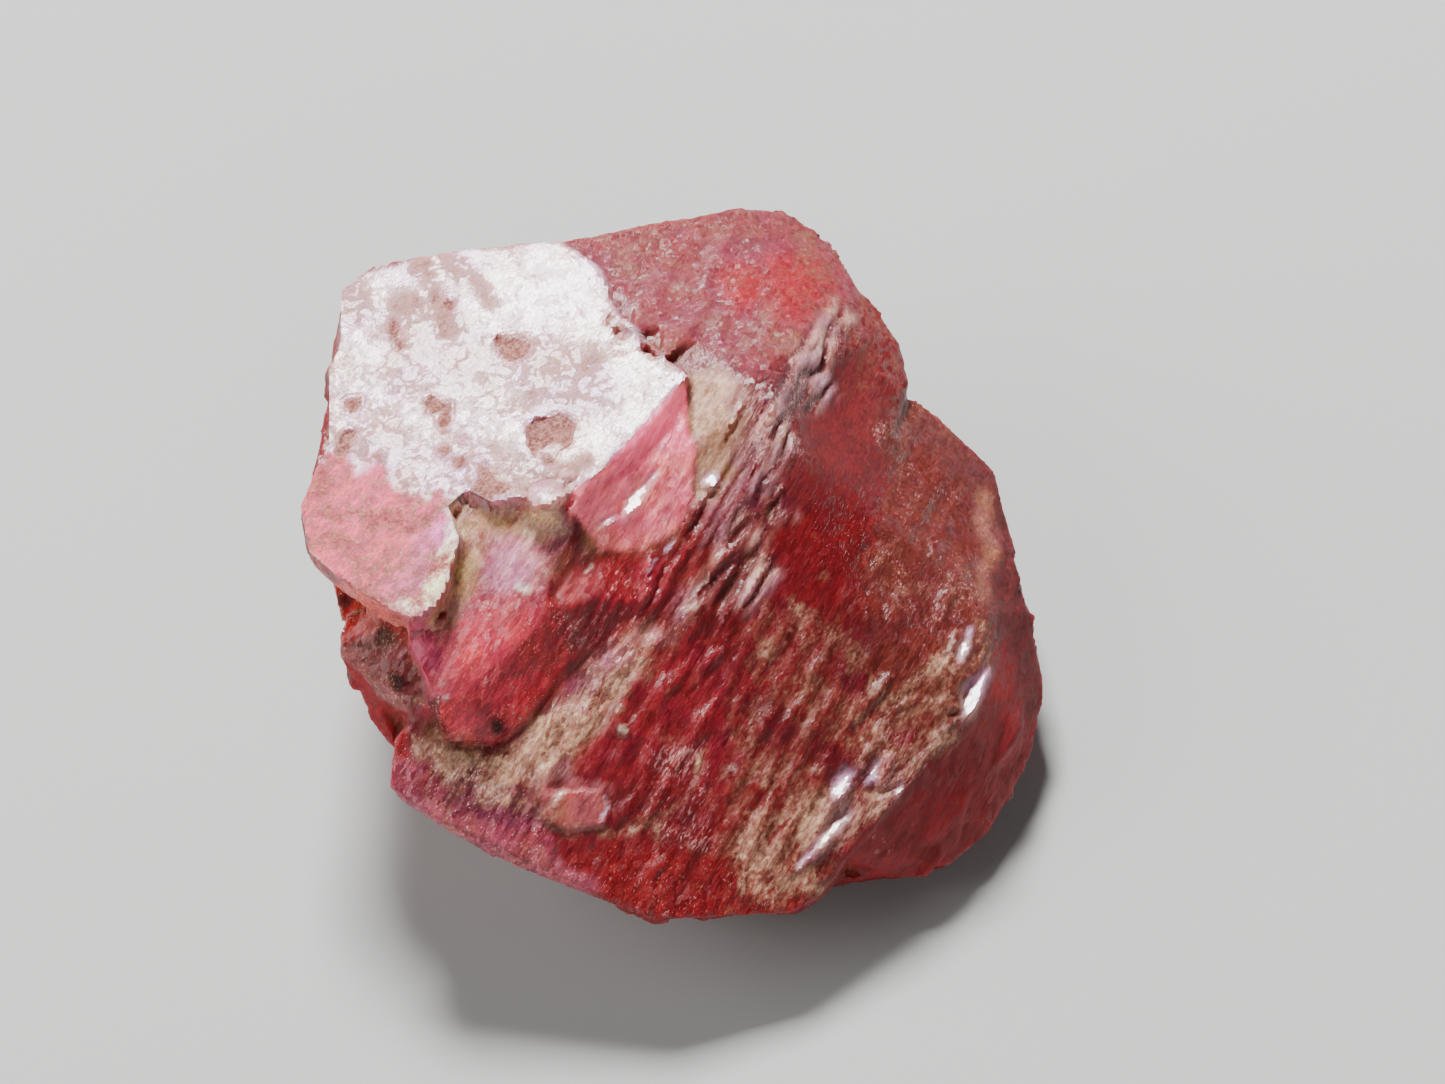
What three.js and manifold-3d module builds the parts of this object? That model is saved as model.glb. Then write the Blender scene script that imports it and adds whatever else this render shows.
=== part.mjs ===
// A broken crystal of rhodonite, built as one solid, in millimetres, +Z up, resting on a flat
// cleavage face. It parts along its cleavage into flat plates at the top left, and across it
// into a long splintered face that falls to the front and right.
//
// Most corners are laid out on a drawing plane that leans back over the table: `across` and `up`
// are measured on that plane, and `height` is measured straight up from the table.
import * as THREE from "three";
import { ConvexGeometry } from "three/addons/geometries/ConvexGeometry.js";
import { mergeVertices } from "three/addons/utils/BufferGeometryUtils.js";
import Module from "manifold-3d";

// Driving dimensions.
const SIGHT_ANGLE = THREE.MathUtils.degToRad(55); // the drawing plane's sight line above the table
const PLATE_HEIGHT = 8.8; // the cleavage plane over the origin
const PLATE_RISE_ACROSS = 0.09; // how it climbs to the right, per millimetre
const PLATE_RISE_BACK = -0.02; // and how it falls away to the back
const PLATE_STEP = 0.42; // thickness of one cleavage plate
const FLAKE_STEP = 0.12; // thickness of the thin flakes on the plate
const FACE_HEIGHT = 5.72; // the splintered face, read on the drawing plane
const FACE_RISE_ACROSS = -0.18;
const FACE_RISE_UP = 0.46;
const LEDGE_HEIGHT = 6.87; // the lower plate, read on the drawing plane
const LEDGE_RISE_ACROSS = -0.04;
const LEDGE_RISE_UP = 0.267;
const GRAIN = new THREE.Vector2(0.5, 0.87); // the way the stone splinters, on the drawing plane
const ROOT = 0.35; // how far a fused piece reaches down into the stone
const SMALLEST = 0.01; // edges and slivers finer than this are dropped
const STONE_COLOUR = 0x8c2430;

const wasm = await Module();
wasm.setup();

// ---- Points

const at = (x, y, z) => new THREE.Vector3(x, y, z);
const seen = (across, up, height) =>
  at(across, (up - height * Math.cos(SIGHT_ANGLE)) / Math.sin(SIGHT_ANGLE), height);

// A point of the drawing plane put onto the cleavage plane, `lift` above it.
function onPlate(across, up, lift = 0) {
  const level = PLATE_HEIGHT + PLATE_RISE_ACROSS * across + lift;
  const fall = PLATE_RISE_BACK / Math.sin(SIGHT_ANGLE);
  return seen(across, up, (level + fall * up) / (1 + fall * Math.cos(SIGHT_ANGLE)));
}

// The same for the splintered face and for the lower plate.
const onFace = (across, up, lift = 0) =>
  seen(across, up, FACE_HEIGHT + FACE_RISE_ACROSS * across + FACE_RISE_UP * up + lift);
const onLedge = (across, up, lift = 0) =>
  seen(across, up, LEDGE_HEIGHT + LEDGE_RISE_ACROSS * across + LEDGE_RISE_UP * up + lift);

// Repeatable random numbers from 0 to 1.
let seed = 31;
function random() {
  seed = (seed * 16807) % 2147483647;
  return seed / 2147483647;
}
const between = (low, high) => low + (high - low) * random();

// ---- Solids

// A closed three.js geometry as a solid that can be joined and cut.
function solid(geometry) {
  const bare = geometry.index ? geometry.toNonIndexed() : geometry.clone();
  bare.deleteAttribute("normal");
  bare.deleteAttribute("uv");
  const merged = mergeVertices(bare, 1e-4);
  return new wasm.Manifold(
    new wasm.Mesh({
      numProp: 3,
      vertProperties: new Float32Array(merged.attributes.position.array),
      triVerts: new Uint32Array(merged.index.array),
    }),
  );
}

const block = (...corners) => solid(new ConvexGeometry(corners));
const join = (solids) => solids.reduce((all, one) => all.add(one));
const cut = (stock, tools) => tools.reduce((left, tool) => left.subtract(tool), stock);

// The solid inside the outermost surface: blocks that meet at a slant can seal a sliver of air in.
function filled(made) {
  const [outermost] = made.decompose().sort((one, other) => other.volume() - one.volume());
  return outermost;
}

function geometryOf(made) {
  const { vertProperties, triVerts } = made.getMesh();
  const geometry = new THREE.BufferGeometry();
  geometry.setAttribute("position", new THREE.BufferAttribute(new Float32Array(vertProperties), 3));
  geometry.setIndex(new THREE.BufferAttribute(new Uint32Array(triVerts), 1));
  return geometry;
}

// ---- Corners that neighbouring masses share

const plateCorner = onPlate(0.3, 6.7, -PLATE_STEP);
const plateFront = onFace(-1.8, 2.6);
const bevelFoot = onFace(0.6, 5.0);
const ridgeTop = onFace(2.2, 6.5);
const ridgeFoot = onFace(2.5, 2.2);
const summit = seen(3.0, 7.9, 7.6);
const backCorner = seen(4.5, 9.05, 5.9);
const lobeFoot = onFace(4.3, 1.3);
const lobeEdge = seen(4.6, 3.6, 5.75);
const lobeHead = seen(5.2, 6.1, 4.95);
const crest = [seen(7.6, 0.9, 4.0), onFace(7.2, -1.1, -0.1), onFace(5.6, -3.2), onFace(3.8, -4.7)];

// ---- The masses that the stone is broken into

// The foot: the cleavage block that the stone stands on, under all the others.
function foot() {
  return block(
    at(-5.6, -2.6, 0), at(-3.6, -5.6, 0), at(0.2, -7.2, 0), at(3.2, -6.9, 0), at(6.2, -6.2, 0),
    at(7.4, -4.4, 0), at(7.6, -0.1, 0), at(6.0, 2.4, 0), at(3.6, 4.9, 0), at(-3.2, 4.9, 0),
    at(-5.9, 3.0, 0), at(-7.2, -2.8, 3.9), at(-5.6, -5.8, 3.2), at(-6.9, 3.6, 4.2), at(-3.0, 6.2, 4.4),
    at(1.5, 6.6, 3.4), at(4.6, 4.8, 3.0), at(6.9, 1.4, 2.2), at(7.6, -4.0, 1.0), at(4.6, -6.2, 1.6),
    at(0.4, -7.6, 2.0), at(-2.4, -6.8, 2.6), at(-4.6, -3.2, 4.6), at(-1.0, -2.0, 4.4), at(3.0, 0, 4.2),
  );
}

// The splintered face, in an upper and a lower part.
function upperFace() {
  return block(
    bevelFoot, plateFront, ridgeTop, ridgeFoot, lobeFoot.clone().lerp(ridgeFoot, 0.5),
    onFace(-2.4, 0.4), onFace(0, -1), plateCorner, at(-2.0, 4.0, 3.0), at(2.0, 4.5, 3.0),
    at(3.0, 0, 3.0), at(-2.5, -2.5, 3.0),
  );
}

function lowerFace() {
  return block(
    plateFront, ridgeFoot, lobeFoot, ...crest.slice(1), seen(-6.3, -1.55, 5.8), seen(-6.7, -2.0, 5.7),
    seen(-6.85, -3.1, 5.0), seen(-5.96, -3.75, 4.8), seen(-6.6, -3.5, 4.5), seen(-5.35, -4.25, 4.3),
    seen(-3.8, -5.05, 3.7), seen(-1.8, -5.8, 3.25), seen(-0.5, -6.35, 2.95), seen(1.1, -6.1, 2.7),
    seen(2.8, -6.2, 2.3), seen(3.4, -5.9, 2.25), at(-5.8, -3.6, 2.4), at(-3.8, -6.0, 1.0),
    at(0.2, -7.6, 0.6), at(3.2, -7.1, 0.3), at(6.2, -4.4, 0.6), at(4.5, 2.0, 1.0), at(-3, 2.0, 1.0),
  );
}

// The back, with the dull face that falls away behind the plates.
function back() {
  return block(
    plateCorner, ridgeTop, summit, backCorner, bevelFoot, seen(-2.0, 8.4, 8.3), seen(-3.1, 10.0, 8.2),
    seen(-0.6, 10.6, 7.5), seen(1.6, 11.0, 6.9), seen(2.7, 10.95, 6.5), seen(3.9, 10.1, 6.1),
    at(-1.5, 7.9, 3.6), at(3.2, 7.4, 3.0), at(-2.5, 4.8, 0), at(3.6, 4.9, 0), at(4.2, 1.0, 0),
    at(-2.0, -1, 0),
  );
}

// The right shoulder, whose smooth face drops away beside the splintered one.
function shoulder() {
  return block(
    ridgeTop, ridgeFoot, summit, backCorner, seen(5.55, 7.7, 5.3), seen(5.75, 6.7, 5.1),
    at(5.2, 4.8, 2.6), at(3.2, 7.4, 3.0), at(4.5, 4.0, 0), at(5.5, -1, 0), at(1.5, -1, 0),
  );
}

// The slope between that shoulder and the lobe.
function hollowFloor() {
  return block(
    ridgeTop, ridgeFoot, lobeFoot, lobeEdge, lobeHead, seen(5.75, 6.7, 5.1), seen(3.9, 7.2, 7.0),
    at(5.2, 4.0, 2.6), at(3.0, 3.0, 2.6), at(3.0, -1.0, 2.6), at(5.0, -1.0, 2.6),
  );
}

// The low lobe on the right, with a bevel under its crest.
function lobe() {
  return block(
    lobeFoot, ...crest, ridgeFoot.clone().lerp(lobeFoot, 0.7), lobeEdge, lobeHead,
    seen(5.9, 6.25, 4.6), seen(6.8, 5.55, 4.1), seen(7.9, 4.4, 3.5), seen(8.2, 2.8, 3.2),
    seen(8.6, 1.1, 2.9), seen(9.0, -1.1, 1.7), seen(8.8, -2.3, 1.3), seen(7.7, -4.3, 1.0),
    seen(6.7, -5.1, 1.0), seen(5.35, -5.45, 1.2), seen(4.3, -5.2, 1.7), at(3.5, -6.2, 0.3),
    at(6.2, -6.4, 0.2), at(7.6, -4.4, 0.3), at(7.6, -0.1, 0.4), at(6.0, 2.4, 0), at(2.0, 1.4, 0),
  );
}

// The mass under the plates.
function plateBed() {
  const down = -PLATE_STEP;
  return block(
    onPlate(-8.0, 8.9, down), onPlate(-7.4, 9.4, down), onPlate(-5.5, 9.8, down),
    onPlate(-3.2, 9.95, down), onPlate(-1.9, 8.9, down), plateCorner, onPlate(-2.4, 3.6, down),
    onPlate(-4.9, 3.4, down), onPlate(-5.6, 1.4, down), onPlate(-6.2, 1.1, down),
    onPlate(-7.4, 1.7, down), onPlate(-8.6, 2.7, down), onPlate(-8.85, 3.6, down),
    onPlate(-8.25, 6.9, down), bevelFoot, onFace(0.1, 3.7), onFace(-0.7, 2.8), plateFront,
    at(-7.5, 4.4, 3.8), at(-7.4, -2.2, 4.0), at(-3.0, 6.8, 3.8), at(-5.6, -2.6, 0), at(-5.9, 3.0, 0),
    at(-3.2, 4.9, 0), at(2.0, 2.4, 0), at(0, -3.6, 0),
  );
}

// The lower plate, broken off to the front along a translucent ledge.
function lowerPlate() {
  return block(
    onLedge(-4.9, 3.6), onLedge(-2.4, 3.6), onLedge(-3.4, 0.83), onLedge(-3.65, 0.34),
    onLedge(-4.26, -0.27), onLedge(-5.0, -0.85), onLedge(-5.75, -0.95), onLedge(-6.3, 0.4, -0.1),
    onLedge(-6.1, 1.3), seen(-5.5, -2.05, 5.75), seen(-4.3, -2.1, 5.5), onFace(-3.5, -1.5),
    onFace(-2.7, -0.5), at(-5.2, -4.2, 2.0), at(-2.0, -1.6, 2.0),
  );
}
function ledgeTail() {
  return block(
    onFace(-3.3, 0.9, 0.4), onFace(-2.2, 1.35, 0.38), onFace(-1.5, 1.45, 0.22),
    onFace(-0.75, 1.25, 0.02), onFace(-1.8, 0.34), onFace(-2.8, -0.6), onFace(-3.3, -1.0),
    onFace(-2.6, 2.2), onFace(-1.5, 2.4), onFace(-2.0, 1.0, -2), onFace(-2.6, 0.6, -2),
  );
}

function leftLedge() {
  return block(
    seen(-8.03, 0.4, 6.4), seen(-7.2, 1.2, 7.0), seen(-5.9, 0.8, 6.9), seen(-5.6, -1.1, 6.3),
    seen(-6.6, -0.95, 6.2), seen(-7.66, -0.3, 6.1), seen(-8.1, 0.0, 6.0), seen(-7.45, -1.2, 5.0),
    seen(-6.7, -1.95, 4.6), seen(-6.0, -1.7, 5.8), at(-5.2, -3.2, 1.5), at(-6.3, -1.4, 3.0),
    at(-5.0, -1, 1.5),
  );
}

// ---- Cleavage plates

const plateOrigin = onPlate(0, 0);
const plateAcross = onPlate(1, 0).sub(plateOrigin).normalize();
const plateNormal = plateAcross.clone().cross(onPlate(0, 1).sub(plateOrigin)).normalize();
const plateBack = plateNormal.clone().cross(plateAcross);

// A flat piece with this outline, read on the drawing plane: its top lies `lift` above the
// cleavage plane, and it is `depth` thick.
function slab(outline, lift, depth) {
  const flat = outline.map(([across, up]) => onPlate(across, up).sub(plateOrigin));
  const shape = new THREE.Shape(flat.map((p) => new THREE.Vector2(p.dot(plateAcross), p.dot(plateBack))));
  const frame = new THREE.Matrix4()
    .makeBasis(plateAcross, plateBack, plateNormal)
    .setPosition(plateOrigin.clone().addScaledVector(plateNormal, lift - depth));
  return solid(new THREE.ExtrudeGeometry(shape, { depth, bevelEnabled: false }).applyMatrix4(frame));
}

const topPlate = [
  [-8.15, 9.0], [-7.4, 9.5], [-5.5, 9.9], [-3.2, 10.1], [-2.4, 9.6], [-1.95, 8.95], [-1.85, 8.3],
  [-1.6, 8.35], [-1.5, 7.75], [-0.9, 7.35], [0.35, 6.8], [-0.2, 6.0], [-1.0, 5.0], [-1.9, 4.3],
  [-2.5, 3.55], [-3.1, 3.35], [-3.7, 3.75], [-4.4, 3.7], [-5.0, 4.0], [-5.45, 3.6], [-5.15, 2.8],
  [-5.35, 1.9], [-5.6, 1.2], [-6.15, 0.9], [-6.8, 1.15], [-7.4, 1.5], [-8.1, 1.95], [-8.75, 2.5],
  [-9.0, 3.6], [-8.7, 4.4], [-8.35, 5.1], [-8.4, 6.9], [-8.15, 7.6],
];
const flakes = [
  [
    [-7.9, 8.9], [-5.6, 9.6], [-3.3, 9.8], [-2.7, 9.0], [-3.4, 8.2], [-4.6, 7.9], [-5.0, 6.9], [-6.1, 6.2],
    [-7.2, 6.5], [-8.0, 7.6],
  ],
  [
    [-2.3, 7.9], [-0.9, 7.2], [0.1, 6.75], [-0.5, 6.0], [-1.2, 5.3], [-2.1, 5.5], [-2.4, 6.4], [-3.1, 7.0],
  ],
  [
    [-8.7, 3.6], [-8.0, 4.6], [-6.7, 4.9], [-5.9, 4.1], [-5.7, 3.0], [-5.7, 1.8], [-6.4, 1.3], [-7.6, 1.9],
    [-8.5, 2.8],
  ],
];

// A flat-floored chip out of the plate.
function chip(across, up, radius, depth) {
  const corners = 9;
  const outline = Array.from({ length: corners }, (_, i) => {
    const turn = (2 * Math.PI * i) / corners;
    const reach = radius * between(0.65, 1.2);
    return [across + reach * Math.cos(turn), up + reach * Math.sin(turn)];
  });
  return slab(outline, 1, 1 + depth);
}
const chips = [
  [-5.8, 5.9, 0.34, 0.1], [-3.1, 5.3, 0.55, 0.2], [-4.0, 7.4, 0.65, 0.05], [-7.8, 5.3, 0.25, 0.12],
  [-4.7, 4.5, 0.5, 0.16], [-4.9, 5.3, 0.4, 0.1], [-7.6, 7.6, 0.4, 0.02], [-6.6, 8.2, 0.3, 0.02],
  [-1.6, 6.6, 0.3, 0.02],
];

// A low rounded lump on the edge of the plate.
function lump(across, up, radius, height) {
  const round = new THREE.SphereGeometry(1, 11, 7).scale(radius, radius * 0.85, height);
  const centre = onPlate(across, up, -0.04);
  return solid(round.rotateZ(across).translate(centre.x, centre.y, centre.z));
}
const lumps = [
  [-3.0, 3.85, 0.6, 0.24], [-2.55, 4.45, 0.45, 0.2], [-1.1, 7.5, 0.35, 0.16], [-6.0, 1.5, 0.5, 0.14],
];

// ---- The stone before it is splintered

// A shallow scoop out of the smooth face beside the splintered one.
function hollow() {
  const scoop = new THREE.SphereGeometry(1, 28, 18).scale(2.6, 4.2, 1.6);
  return solid(scoop.rotateZ(-0.2).rotateY(Math.PI / 4).translate(4.85, 2.1, 7.65));
}

const built = join([
  foot(), upperFace(), lowerFace(), back(), shoulder(), hollowFloor(), lobe(), plateBed(), lowerPlate(),
  ledgeTail(), leftLedge(), slab(topPlate, 0, PLATE_STEP + ROOT),
  ...flakes.map((outline) => slab(outline, FLAKE_STEP, FLAKE_STEP + 0.2)),
  ...lumps.map((one) => lump(...one)),
]);
const masses = filled(cut(built, [...chips.map((one) => chip(...one)), hollow()]));

// ---- Splinters

// Puts points of a drawing plane onto the stone. The plane faces whoever stands `azimuth` round
// from the front and looks down at `elevation`; `lift` is measured back towards them.
const surface = new THREE.Mesh(geometryOf(masses));
function draper(azimuth, elevation) {
  const flat = Math.cos(elevation);
  const toward = at(Math.sin(azimuth) * flat, -Math.cos(azimuth) * flat, Math.sin(elevation));
  const across = at(Math.cos(azimuth), Math.sin(azimuth), 0);
  const up = toward.clone().cross(across);
  const caster = new THREE.Raycaster();
  return (a, b, lift = 0) => {
    const start = across.clone().multiplyScalar(a).addScaledVector(up, b).addScaledVector(toward, 40);
    caster.set(start, toward.clone().negate());
    const [hit] = caster.intersectObject(surface);
    const faces = hit && Math.abs(hit.face.normal.dot(toward)) > 0.3;
    return faces ? hit.point.addScaledVector(toward, lift) : null;
  };
}
const drape = draper(0, SIGHT_ANGLE);

// A block on those corners, or nothing where one of them misses the stone.
const draped = (...corners) => (corners.every(Boolean) ? [block(...corners)] : []);

// Whether a point of the drawing plane lies inside an outline.
function inside(outline, across, up) {
  let odd = false;
  outline.forEach(([a, b], i) => {
    const [c, d] = outline[(i + outline.length - 1) % outline.length];
    if (b > up !== d > up && across < ((c - a) * (up - b)) / (d - b) + a) odd = !odd;
  });
  return odd;
}

// A long splinter that lies along the grain, with its crest `height` above the stone.
function splinter(place, grain, across, up, length, width, height) {
  const corner = (down, side, lift) =>
    place(across + grain.x * down + grain.y * side, up + grain.y * down - grain.x * side, lift);
  const half = length / 2;
  const top = between(-0.25, 0.35) * length;
  const lean = between(-0.3, 0.3) * width;
  return draped(
    corner(-half, 0, 0.01), corner(half, lean, 0.01), corner(top, lean, height),
    corner(top * 0.2 - 0.1, 0, height * 0.8), corner(top, width / 2, -0.02),
    corner(top * 0.3, -width / 2, -0.02), corner(-half * 0.6, 0, -ROOT), corner(half * 0.6, 0, -ROOT),
  );
}

// Splinters over a patch, in rows along the grain. The size gives the shortest and longest,
// the narrowest and widest, and the lowest and highest of them.
function splinters(place, outline, grain, row, [short, long, narrow, wide, low, high]) {
  const made = [];
  for (let side = -11; side < 11; side += row) {
    for (let down = -11; down < 11; down += between(short, long) * 0.62) {
      const across = grain.x * down + grain.y * side;
      const up = grain.y * down - grain.x * side;
      if (!inside(outline, across, up)) continue;
      const lie = grain.clone().rotateAround(new THREE.Vector2(), between(-0.14, 0.14));
      const size = [between(short, long), between(narrow, wide), between(low, high)];
      made.push(...splinter(place, lie, across, up, ...size));
    }
  }
  return made;
}

// The patches of the splintered face, the back and the lobe, on the drawing plane.
const ridged = [[-0.9, 3.0], [0.7, 5.3], [1.9, 6.6], [2.3, 4.6], [2.3, 2.2], [1.0, 0.8], [-1.4, 1.9]];
const streaked = [
  [-1.4, 1.8], [1.0, 0.8], [2.3, 2.2], [4.0, 1.0], [4.6, -1.4], [3.4, -4.8], [0.6, -5.4], [-3.0, -4.6],
  [-5.2, -3.4], [-5.6, -2.8], [-3.4, -2.2], [-1.4, 0.2],
];
const backFace = [
  [-1.2, 8.4], [-0.8, 10.1], [2.2, 10.5], [4.0, 9.4], [5.2, 7.4], [4.2, 7.0], [2.8, 7.4], [0.8, 7.3],
];
const lobeFace = [
  [4.4, 3.4], [5.2, 5.6], [6.9, 4.9], [7.7, 2.4], [7.0, -0.8], [5.2, -2.8], [4.6, -1.0], [4.4, 1.0],
];

// The step where the splintered face stops and the smooth one drops away.
function ridge() {
  const line = [[3.5, 8.1], [2.9, 7.2], [2.35, 6.3], [2.3, 5.1], [1.95, 4.2], [2.35, 2.4]];
  const rise = [0.02, 0.16, 0.22, 0.2, 0.14, 0.02];
  return line.slice(1).flatMap(([across, up], i) => {
    const [a, b] = line[i];
    return draped(
      drape(a, b, rise[i]), drape(across, up, rise[i + 1]), drape(a - 0.45, b - 0.15),
      drape(across - 0.5, up - 0.15), drape(a + 0.12, b, -0.05), drape(across + 0.12, up, -0.05),
      drape(a - 0.1, b, -1), drape(across - 0.1, up, -1),
    );
  });
}

// Small blocks left standing along the crest of the lobe.
function crestBlocks() {
  const places = [
    [6.9, -0.9, 0.5], [6.8, 0.2, 0.4], [5.1, -2.8, 0.45], [4.6, -2.6, 0.4], [3.9, -3.3, 0.4], [3.6, -4.1, 0.5],
  ];
  return places.flatMap(([across, up, size]) => {
    const corner = (a, b, lift) => drape(across + a * size, up + b * size, lift);
    return draped(
      corner(-0.5, -0.9, 0.08), corner(0.1, -0.9, 0.04), corner(0.5, 0.8, 0.1), corner(0.0, 1.0, 0.12),
      corner(-0.6, -0.9, -ROOT), corner(0.3, -1.0, -ROOT), corner(0.7, 0.8, -ROOT),
      corner(-0.2, 1.1, -ROOT),
    );
  });
}

// A thin clear flake at the lower left, and a chip of quartz beside it.
function looseFlakes() {
  return [
    ...draped(
      drape(-3.15, -3.3, 0.12), drape(-1.75, -3.2, 0.14), drape(-1.55, -4.0, 0.12),
      drape(-2.6, -4.2, 0.1), drape(-3.2, -3.9, 0.08), drape(-3.1, -3.4, -ROOT),
      drape(-1.6, -3.3, -ROOT), drape(-1.7, -4.0, -ROOT), drape(-3.1, -3.9, -ROOT),
    ),
    ...draped(
      drape(-1.55, -1.75, 0.04), drape(-1.25, -1.55, 0.14), drape(-1.1, -2.0, 0.1),
      drape(-1.35, -1.8, -ROOT),
    ),
  ];
}

// Broken ledges round the flank, where the cleavage ends in steps: each side is given by its
// bearing in degrees and the height that its ledges reach.
function flankLedges() {
  const level = new THREE.Vector2(1, 0.06).normalize();
  const sides = [[0, 2.4], [75, 2.6], [130, 4.6], [180, 6.6], [235, 7.4], [290, 5.6], [325, 3.4]];
  return sides.flatMap(([bearing, top]) => {
    const patch = [[-7, 0.8], [-7, top], [7, top], [7, 0.8]];
    const place = draper(THREE.MathUtils.degToRad(bearing), 0);
    return splinters(place, patch, level, 1.25, [2.8, 5.2, 0.9, 1.6, 0.12, 0.32]);
  });
}

// ---- The whole stone

const broken = join([
  masses, ...ridge(), ...crestBlocks(), ...looseFlakes(), ...flankLedges(),
  ...splinters(drape, ridged, GRAIN, 0.36, [1.4, 3.2, 0.3, 0.62, 0.08, 0.24]),
  ...splinters(drape, streaked, GRAIN, 0.62, [1.8, 3.6, 0.5, 0.95, 0.05, 0.13]),
  ...splinters(drape, backFace, GRAIN, 0.9, [1.6, 3.4, 0.6, 1.2, 0.05, 0.14]),
  ...splinters(drape, lobeFace, GRAIN, 0.95, [1.8, 3.4, 0.7, 1.3, 0.04, 0.12]),
]);
const stone = filled(broken.simplify(SMALLEST));

// The origin is on the table, under the middle of the stone.
const { min, max } = stone.boundingBox();
const centred = stone.translate([-(min[0] + max[0]) / 2, -(min[1] + max[1]) / 2, -min[2]]);

const stoneSkin = new THREE.MeshStandardMaterial({ color: STONE_COLOUR, roughness: 0.35, metalness: 0 });
const crystal = new THREE.Mesh(geometryOf(centred), stoneSkin);
crystal.name = "rhodonite_crystal";

const part = new THREE.Group();
part.add(crystal);
export default part;
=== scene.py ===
# %% [markdown]
# # A broken crystal of rhodonite
#
# Rhodonite is a manganese silicate. It is rose to deep red, it lets light a little way in, and it
# breaks in two ways: along its cleavage it parts into flat, bright plates, and across it into long
# splinters. The faceted solid of the stone is loaded first. Everything after that gives it the
# fine surface, the colours and the light.

# %% The faceted solid
import itertools
import math

import bpy
import numpy as np
from mathutils import Matrix, Vector


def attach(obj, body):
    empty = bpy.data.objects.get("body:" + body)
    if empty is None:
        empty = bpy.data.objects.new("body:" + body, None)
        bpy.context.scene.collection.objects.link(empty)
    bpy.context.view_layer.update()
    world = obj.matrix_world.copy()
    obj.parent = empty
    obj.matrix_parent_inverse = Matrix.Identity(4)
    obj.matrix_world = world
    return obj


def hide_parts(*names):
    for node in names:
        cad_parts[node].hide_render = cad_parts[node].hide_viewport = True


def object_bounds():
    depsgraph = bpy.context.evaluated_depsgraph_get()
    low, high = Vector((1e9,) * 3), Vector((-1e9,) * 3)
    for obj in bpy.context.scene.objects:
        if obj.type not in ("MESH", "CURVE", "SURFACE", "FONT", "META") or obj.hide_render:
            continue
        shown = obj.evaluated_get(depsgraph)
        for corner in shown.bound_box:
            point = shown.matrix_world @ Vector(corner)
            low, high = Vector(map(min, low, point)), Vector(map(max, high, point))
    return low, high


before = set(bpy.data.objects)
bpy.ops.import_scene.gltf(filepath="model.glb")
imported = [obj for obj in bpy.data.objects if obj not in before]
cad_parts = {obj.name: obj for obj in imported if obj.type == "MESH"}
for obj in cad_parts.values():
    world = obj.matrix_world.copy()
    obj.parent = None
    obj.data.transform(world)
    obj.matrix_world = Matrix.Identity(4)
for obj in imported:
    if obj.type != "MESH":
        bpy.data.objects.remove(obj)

cad_box = [list(corner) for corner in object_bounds()]
MM = 0.001  # a millimetre, in Blender's metres
print("box of the solid, mm:", [[round(v / MM, 2) for v in corner] for corner in cad_box])

# %% [markdown]
# ## A fine skin
#
# The solid has about nine thousand facets, which is enough for its form but too coarse for a
# broken surface. A subdivision would keep the long thin triangles and pinch along them. A voxel
# remesh gives even squares everywhere instead, so every part of the stone can carry the same
# detail. It blunts the edges a little, so the squares are then drawn back onto the solid with a
# shrinkwrap. All of this is done in millimetres, because voxels of a tenth are then a plain 0.1.

# %% Copy the solid and remesh it
VOXEL = 0.104


def in_millimetres(name):
    """A copy of the solid that is a thousand times as large."""
    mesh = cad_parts["rhodonite_crystal"].data.copy()
    mesh.name = name
    mesh.transform(Matrix.Scale(1 / MM, 4))
    made = bpy.data.objects.new(name, mesh)
    bpy.context.scene.collection.objects.link(made)
    return made


form = in_millimetres("form")
stone = in_millimetres("stone")
remesh = stone.modifiers.new("even skin", "REMESH")
remesh.mode = "VOXEL"
remesh.voxel_size = VOXEL
even = stone.modifiers.new("soften the voxel steps", "SMOOTH")
even.factor = 0.5
even.iterations = 3
back_on = stone.modifiers.new("back onto the solid", "SHRINKWRAP")
back_on.wrap_method = "NEAREST_SURFACEPOINT"
back_on.target = form
skin = bpy.data.meshes.new_from_object(stone.evaluated_get(bpy.context.evaluated_depsgraph_get()))
stone.modifiers.clear()
stone.data = skin
bpy.data.objects.remove(form)
print("skin:", len(skin.vertices), "points,", len(skin.polygons), "faces")

# %% [markdown]
# The relief is worked out for all the points at once, as columns of numbers, because a loop over a
# hundred thousand points would take minutes. That needs the points, the edges that join them, and
# the normals. Handing values on along the edges evens them out. A little of that hides the facets
# of the solid, and more of it shows which way the stone faces on the whole.

# %% Read its points and normals
points = np.empty(len(skin.vertices) * 3)
skin.vertices.foreach_get("co", points)
points = points.reshape(-1, 3)
edges = np.empty(len(skin.edges) * 2, dtype=np.int64)
skin.edges.foreach_get("vertices", edges)
edges = edges.reshape(-1, 2)


def point_normals():
    """The normal at each point of the skin as it now stands."""
    skin.vertices.foreach_set("co", points.ravel())
    skin.update()
    normals = np.empty(len(points) * 3)
    skin.vertex_normals.foreach_get("vector", normals)
    return normals.reshape(-1, 3)


def spread(values, rounds):
    """Evens values out over the skin, from each point to its neighbours."""
    values = values.astype(float)
    neighbours = np.bincount(edges.ravel(), minlength=len(points)).clip(1)
    neighbours = neighbours.reshape(-1, *[1] * (values.ndim - 1))
    for _ in range(rounds):
        total = np.zeros_like(values)
        np.add.at(total, edges[:, 0], values[edges[:, 1]])
        np.add.at(total, edges[:, 1], values[edges[:, 0]])
        values = 0.5 * values + 0.5 * total / neighbours
    return values


def unit(vectors):
    """The same directions, with length 1."""
    return vectors / np.linalg.norm(vectors, axis=-1, keepdims=True)


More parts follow.
